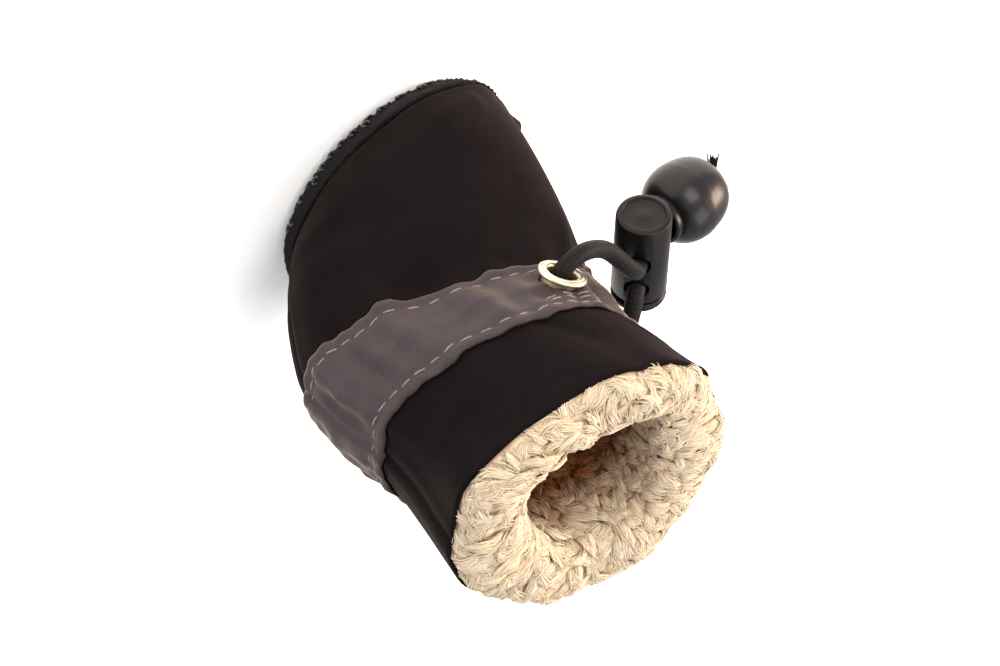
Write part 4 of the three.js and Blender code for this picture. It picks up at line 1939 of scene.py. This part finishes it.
@dataclass
class Lock:
    """The cord lock: a barrel with a sunk disc, a sprung plunger and two cross holes."""

    centre: Vector = field(default_factory=lambda: Vector((28.9, 2.7, 43.7)))
    droop: float = 35.0
    lean: float = 5.0
    radius: float = 4.6
    length: float = 17.0
    bore: float = 3.5
    hole: float = 2.1
    pitch: float = 5.8
    hole_to_end: float = 3.6
    cap: float = 1.6
    stem: float = 3.2
    stem_out: float = 0.6
    stem_in: float = 12.6
    head: float = 1.6

    @property
    def turn_matrix(self) -> Matrix:
        """Turn from the lock's own frame, whose axis is Y, to the boot's."""
        droop = Matrix.Rotation(math.radians(self.droop), 4, "Y")
        return Matrix.Rotation(math.radians(self.lean), 4, "Z") @ droop

    def at(self, x: float, y: float, z: float) -> Vector:
        """A point of the lock's own frame in the boot's frame."""
        return self.centre + self.turn_matrix.to_3x3() @ Vector((x, y, z))

    @property
    def matrix(self) -> Matrix:
        """Carries a piece turned about Z to its place, with its axis on the lock's Y."""
        upright = Matrix.Rotation(-math.pi / 2, 4, "X")
        return Matrix.Translation(self.centre) @ self.turn_matrix @ upright

    def drill_holes(self, piece: Piece) -> None:
        """Cuts the two cord holes across a piece that is still about Z.

        Args:
            piece: The barrel or the plunger.
        """
        for side in Side:
            height = Matrix.Translation((0, 0, side.value * self.pitch / 2))
            across = Matrix.Rotation(math.pi / 2, 4, "Y")
            drill(piece, rod(self.hole, 4 * self.radius, 32, height @ across))

    def build(self, plastic: Material) -> list[Piece]:
        """Makes the barrel and the plunger.

        Args:
            plastic: The lock's plastic.

        Returns:
            Both pieces.
        """
        foot = -self.pitch / 2 - self.hole_to_end
        top = foot + self.length
        barrel = turn("lock_barrel", [
            (self.bore, top - self.cap), (self.bore, foot), (self.radius - 0.35, foot),
            (self.radius, foot + 0.35), (self.radius, top - 0.7), (self.radius - 0.2, top - 0.2),
            (self.radius - 0.7, top), (self.bore + 0.15, top), (self.bore - 0.05, top - 0.35),
            (self.bore - 0.5, top - 0.42), (0.9, top - 0.42), (0.7, top - 0.32), (0.05, top - 0.32),
        ], 64, False)
        self.drill_holes(barrel)
        soften(barrel, 0.12)
        place(barrel, self.matrix)
        finished(barrel, "lock_plastic", plastic, "cord_lock_barrel")
        end = foot - self.stem_out
        plunger = turn("lock_plunger", [
            (0.05, end - self.head - 0.1), (2.2, end - self.head - 0.1),
            (self.radius - 0.6, end - self.head + 0.05),
            (self.radius - 0.1, end - self.head + 0.45), (self.radius, end - self.head / 2),
            (self.radius - 0.1, end - 0.3), (self.radius - 0.4, end), (self.stem, end),
            (self.stem, foot + self.stem_in), (0.05, foot + self.stem_in),
        ], 64, False)
        self.drill_holes(plunger)
        soften(plunger, 0.1)
        place(plunger, self.matrix)
        finished(plunger, "lock_plastic", plastic, "cord_lock_plunger")
        return [barrel, plunger]


@dataclass
class Bead:
    """The cord-end bead, with the strands' knot in it and their tail out of its end."""

    entry: Vector = field(default_factory=lambda: Vector((36.8, 3.3, 40.3)))
    droop: float = 4.0
    length: float = 13.0
    radius: float = 6.9
    bore: float = 3.5
    hole: float = 2.5
    step: float = 8.6
    neck: float = 4.3
    flat: float = 3.9
    belly: float = 6.4

    @property
    def axis(self) -> Vector:
        """Direction from the neck to the far end."""
        return drooping(self.droop)

    def ball(self) -> list[tuple[float, float]]:
        """Radius and height of the ball's outline, with the mould's parting line at its belly.

        Returns:
            Corners of the ball's outline, from the neck to the far end.
        """
        outline = []
        for lean in np.radians(np.linspace(-82, 80, 28)):
            below = lean < 0
            span = self.belly - 1.5 if below else self.length - self.belly
            end = self.neck - 0.1 if below else self.flat
            height = float(self.belly + span * math.sin(lean))
            line = 0.07 * math.exp(-(((height - self.belly - 0.3) / 0.28) ** 2))
            reach = math.cos(lean) ** (1.35 if below else 1.0)
            outline.append((end + (self.radius - end) * reach + line, height))
        return outline

    def build(self, plastic: Material, sheath: Material) -> list[Piece]:
        """Makes the bead, the knot and the frayed tail.

        Args:
            plastic: The bead's plastic.
            sheath: The cord's sheath.

        Returns:
            The bead and the knot.
        """
        bead = turn("end_bead", [
            (self.bore, 0.25), (self.bore + 0.2, 0.0), (self.neck - 0.2, 0.0), (self.neck, 0.25),
            (self.neck, 1.2), (self.neck - 0.15, 1.5), *self.ball(), (self.flat - 0.3, self.length),
            (self.hole, self.length), (self.hole, self.step), (self.bore, self.step),
        ], 72, True)
        smooth(bead, 38)
        place(bead, axis_matrix(self.entry, self.axis))
        finished(bead, "bead_plastic", plastic, "cord_end_bead")
        body = self.bore - 0.4
        knot = turn("strand_knot", [
            (0.05, 3.0), (body * 0.6, 3.0), (body, 3.9), (body * 0.94, 5.2), (body, 6.4), (body, 7.3),
            (body * 0.7, 8.2), (1.5, 8.3), (1.45, self.length + 0.6), (1.2, self.length + 0.9),
            (0.05, self.length + 1.0),
        ], 24, False)
        smooth(knot, 60)
        place(knot, axis_matrix(self.entry, self.axis))
        finished(knot, "cord", sheath, "drawcord_knot")
        return [bead, knot, self.tail(sheath)]

    def tail(self, sheath: Material) -> Piece:
        """Makes the two cut ends of the strands, frayed and spread.

        Args:
            sheath: The cord's sheath.

        Returns:
            The finished piece.
        """
        rng = np.random.default_rng(5)
        start = self.entry + self.axis * (self.length + 0.3)
        rings = []
        for strand in range(60):
            spread = (1 if strand % 2 else -1) * 0.9
            root = Vector((0, rng.normal(spread, 0.3), rng.normal(0, 0.4)))
            out = Vector((0.6, 0.9, -0.3)) if strand % 2 else Vector((1.0, 0.1, 0.25))
            tip = root * 1.3 + out * rng.uniform(2.0, 3.3) + Vector(rng.normal(0, 0.28, 3))
            bend = root + out * 1.1 + Vector((0.4, 0, 0))
            line = np.array([start + root, start + bend, start + tip])
            rings.append(tube(line, np.array([[0.26], [0.24], [0.1]]), 4))
        piece = tubes("frayed_tail", np.array(rings))
        outwards(piece)
        return finished(piece, "cord", sheath)


@dataclass
class Drawcord:
    """The two free strands, from their eyelets through the lock and into the bead."""

    lock: Lock
    bead: Bead
    radius: float = 1.5
    spread: float = 1.65
    into: float = 2.7
    sides: int = 40
    steps: int = 260
    carriers: int = 8
    lay: float = 5.2  # millimetres of cord for one turn of a carrier

    def route(self, eyelet: Eyelet) -> Array:
        """Middle line of a strand, in millimetres.

        Args:
            eyelet: The eyelet that it leaves.

        Returns:
            Points along the strand.
        """
        side = eyelet.side.value
        hole = side * self.lock.pitch / 2
        neck = self.bead.entry + Vector((0, side * self.spread, 0))
        points = [
            eyelet.seat + eyelet.axis * 0.9,
            eyelet.seat + eyelet.axis * 3.8,
            eyelet.seat + eyelet.axis * 4.6 + Vector((3.4, 0, 0)),
            eyelet.seat + eyelet.axis * 3.4 + Vector((10.5, side * -2.6, -0.6)),
            self.lock.at(-9.0, hole + side * 4.0, -0.6),
            self.lock.at(-4.9, hole, 0),
            self.lock.at(0, hole, 0),
            self.lock.at(4.8, hole, 0),
            neck,
            neck + self.bead.axis * self.into,
        ]
        return catmull_rom(points, self.steps)

    def strand(self, eyelet: Eyelet, sheath: Material, hardware: list[Piece]) -> Piece:
        """Makes one strand with its braid.

        Args:
            eyelet: The eyelet that it leaves.
            sheath: The cord's sheath.
            hardware: The pieces that are on the cord; not used.

        Returns:
            The finished piece.
        """
        path = self.route(eyelet)
        run = np.concatenate([[0.0], np.cumsum(np.linalg.norm(np.diff(path, axis=0), axis=1))])
        angle = full_turn(self.sides)[None]
        twist = run[:, None] * math.pi / self.lay
        over = np.cos(self.carriers * (angle + twist)) * np.cos(self.carriers * (angle - twist))
        rings = tube(path, self.radius + 0.03 * over - 0.02, self.sides)
        name = eyelet.side.name.lower()
        piece = loft(f"braided_drawcord_{name}", rings, False, (0.24, run[-1] / self.steps))
        LOG.info("%s is %.1f mm long", piece.name, run[-1])
        return finished(piece, "cord", sheath, f"drawcord_{name}")


# ---- The boot ------------------------------------------------------------------------------------
def main() -> None:
    """Builds the studio, the drawcord and then the boot."""
    logging.basicConfig(level=logging.INFO, format="%(name)s %(message)s")
    studio = Studio()
    studio.camera()
    studio.floor()
    studio.light()

    last = Last(SECTIONS)
    slack = Slack(CREASES)
    eyelets = [Eyelet(last, side) for side in Side]
    lock, bead = Lock(), Bead()
    sheath = BraidedCord().material()
    matt = MouldedPlastic("spark_eroded_plastic", "#0b0908", "#0f0c0b", Gloss.SPARK_ERODED).material()
    glossy = MouldedPlastic("polished_plastic", "#0c0b0c", "#121011", Gloss.POLISHED).material()
    hardware = lock.build(matt) + bead.build(glossy, sheath)
    cord = Drawcord(lock, bead)
    for eyelet in eyelets:
        cord.strand(eyelet, sheath, hardware)

    shell = Shell(last, slack)
    shell.build(ShellCloth().material())
    fleece = SherpaFleece().material()
    Lining(last, shell).build(fleece)
    Insole(last).build(fleece)
    Sole(last).build(RibKnit().material(), DropRubber().material())
    Band(last, slack, eyelets).build(ReflectiveCloth().material(), SewingThread().material())
    nickel = PaleNickel().material()
    for eyelet in eyelets:
        eyelet.build(nickel)


if __name__ == "__main__":
    main()
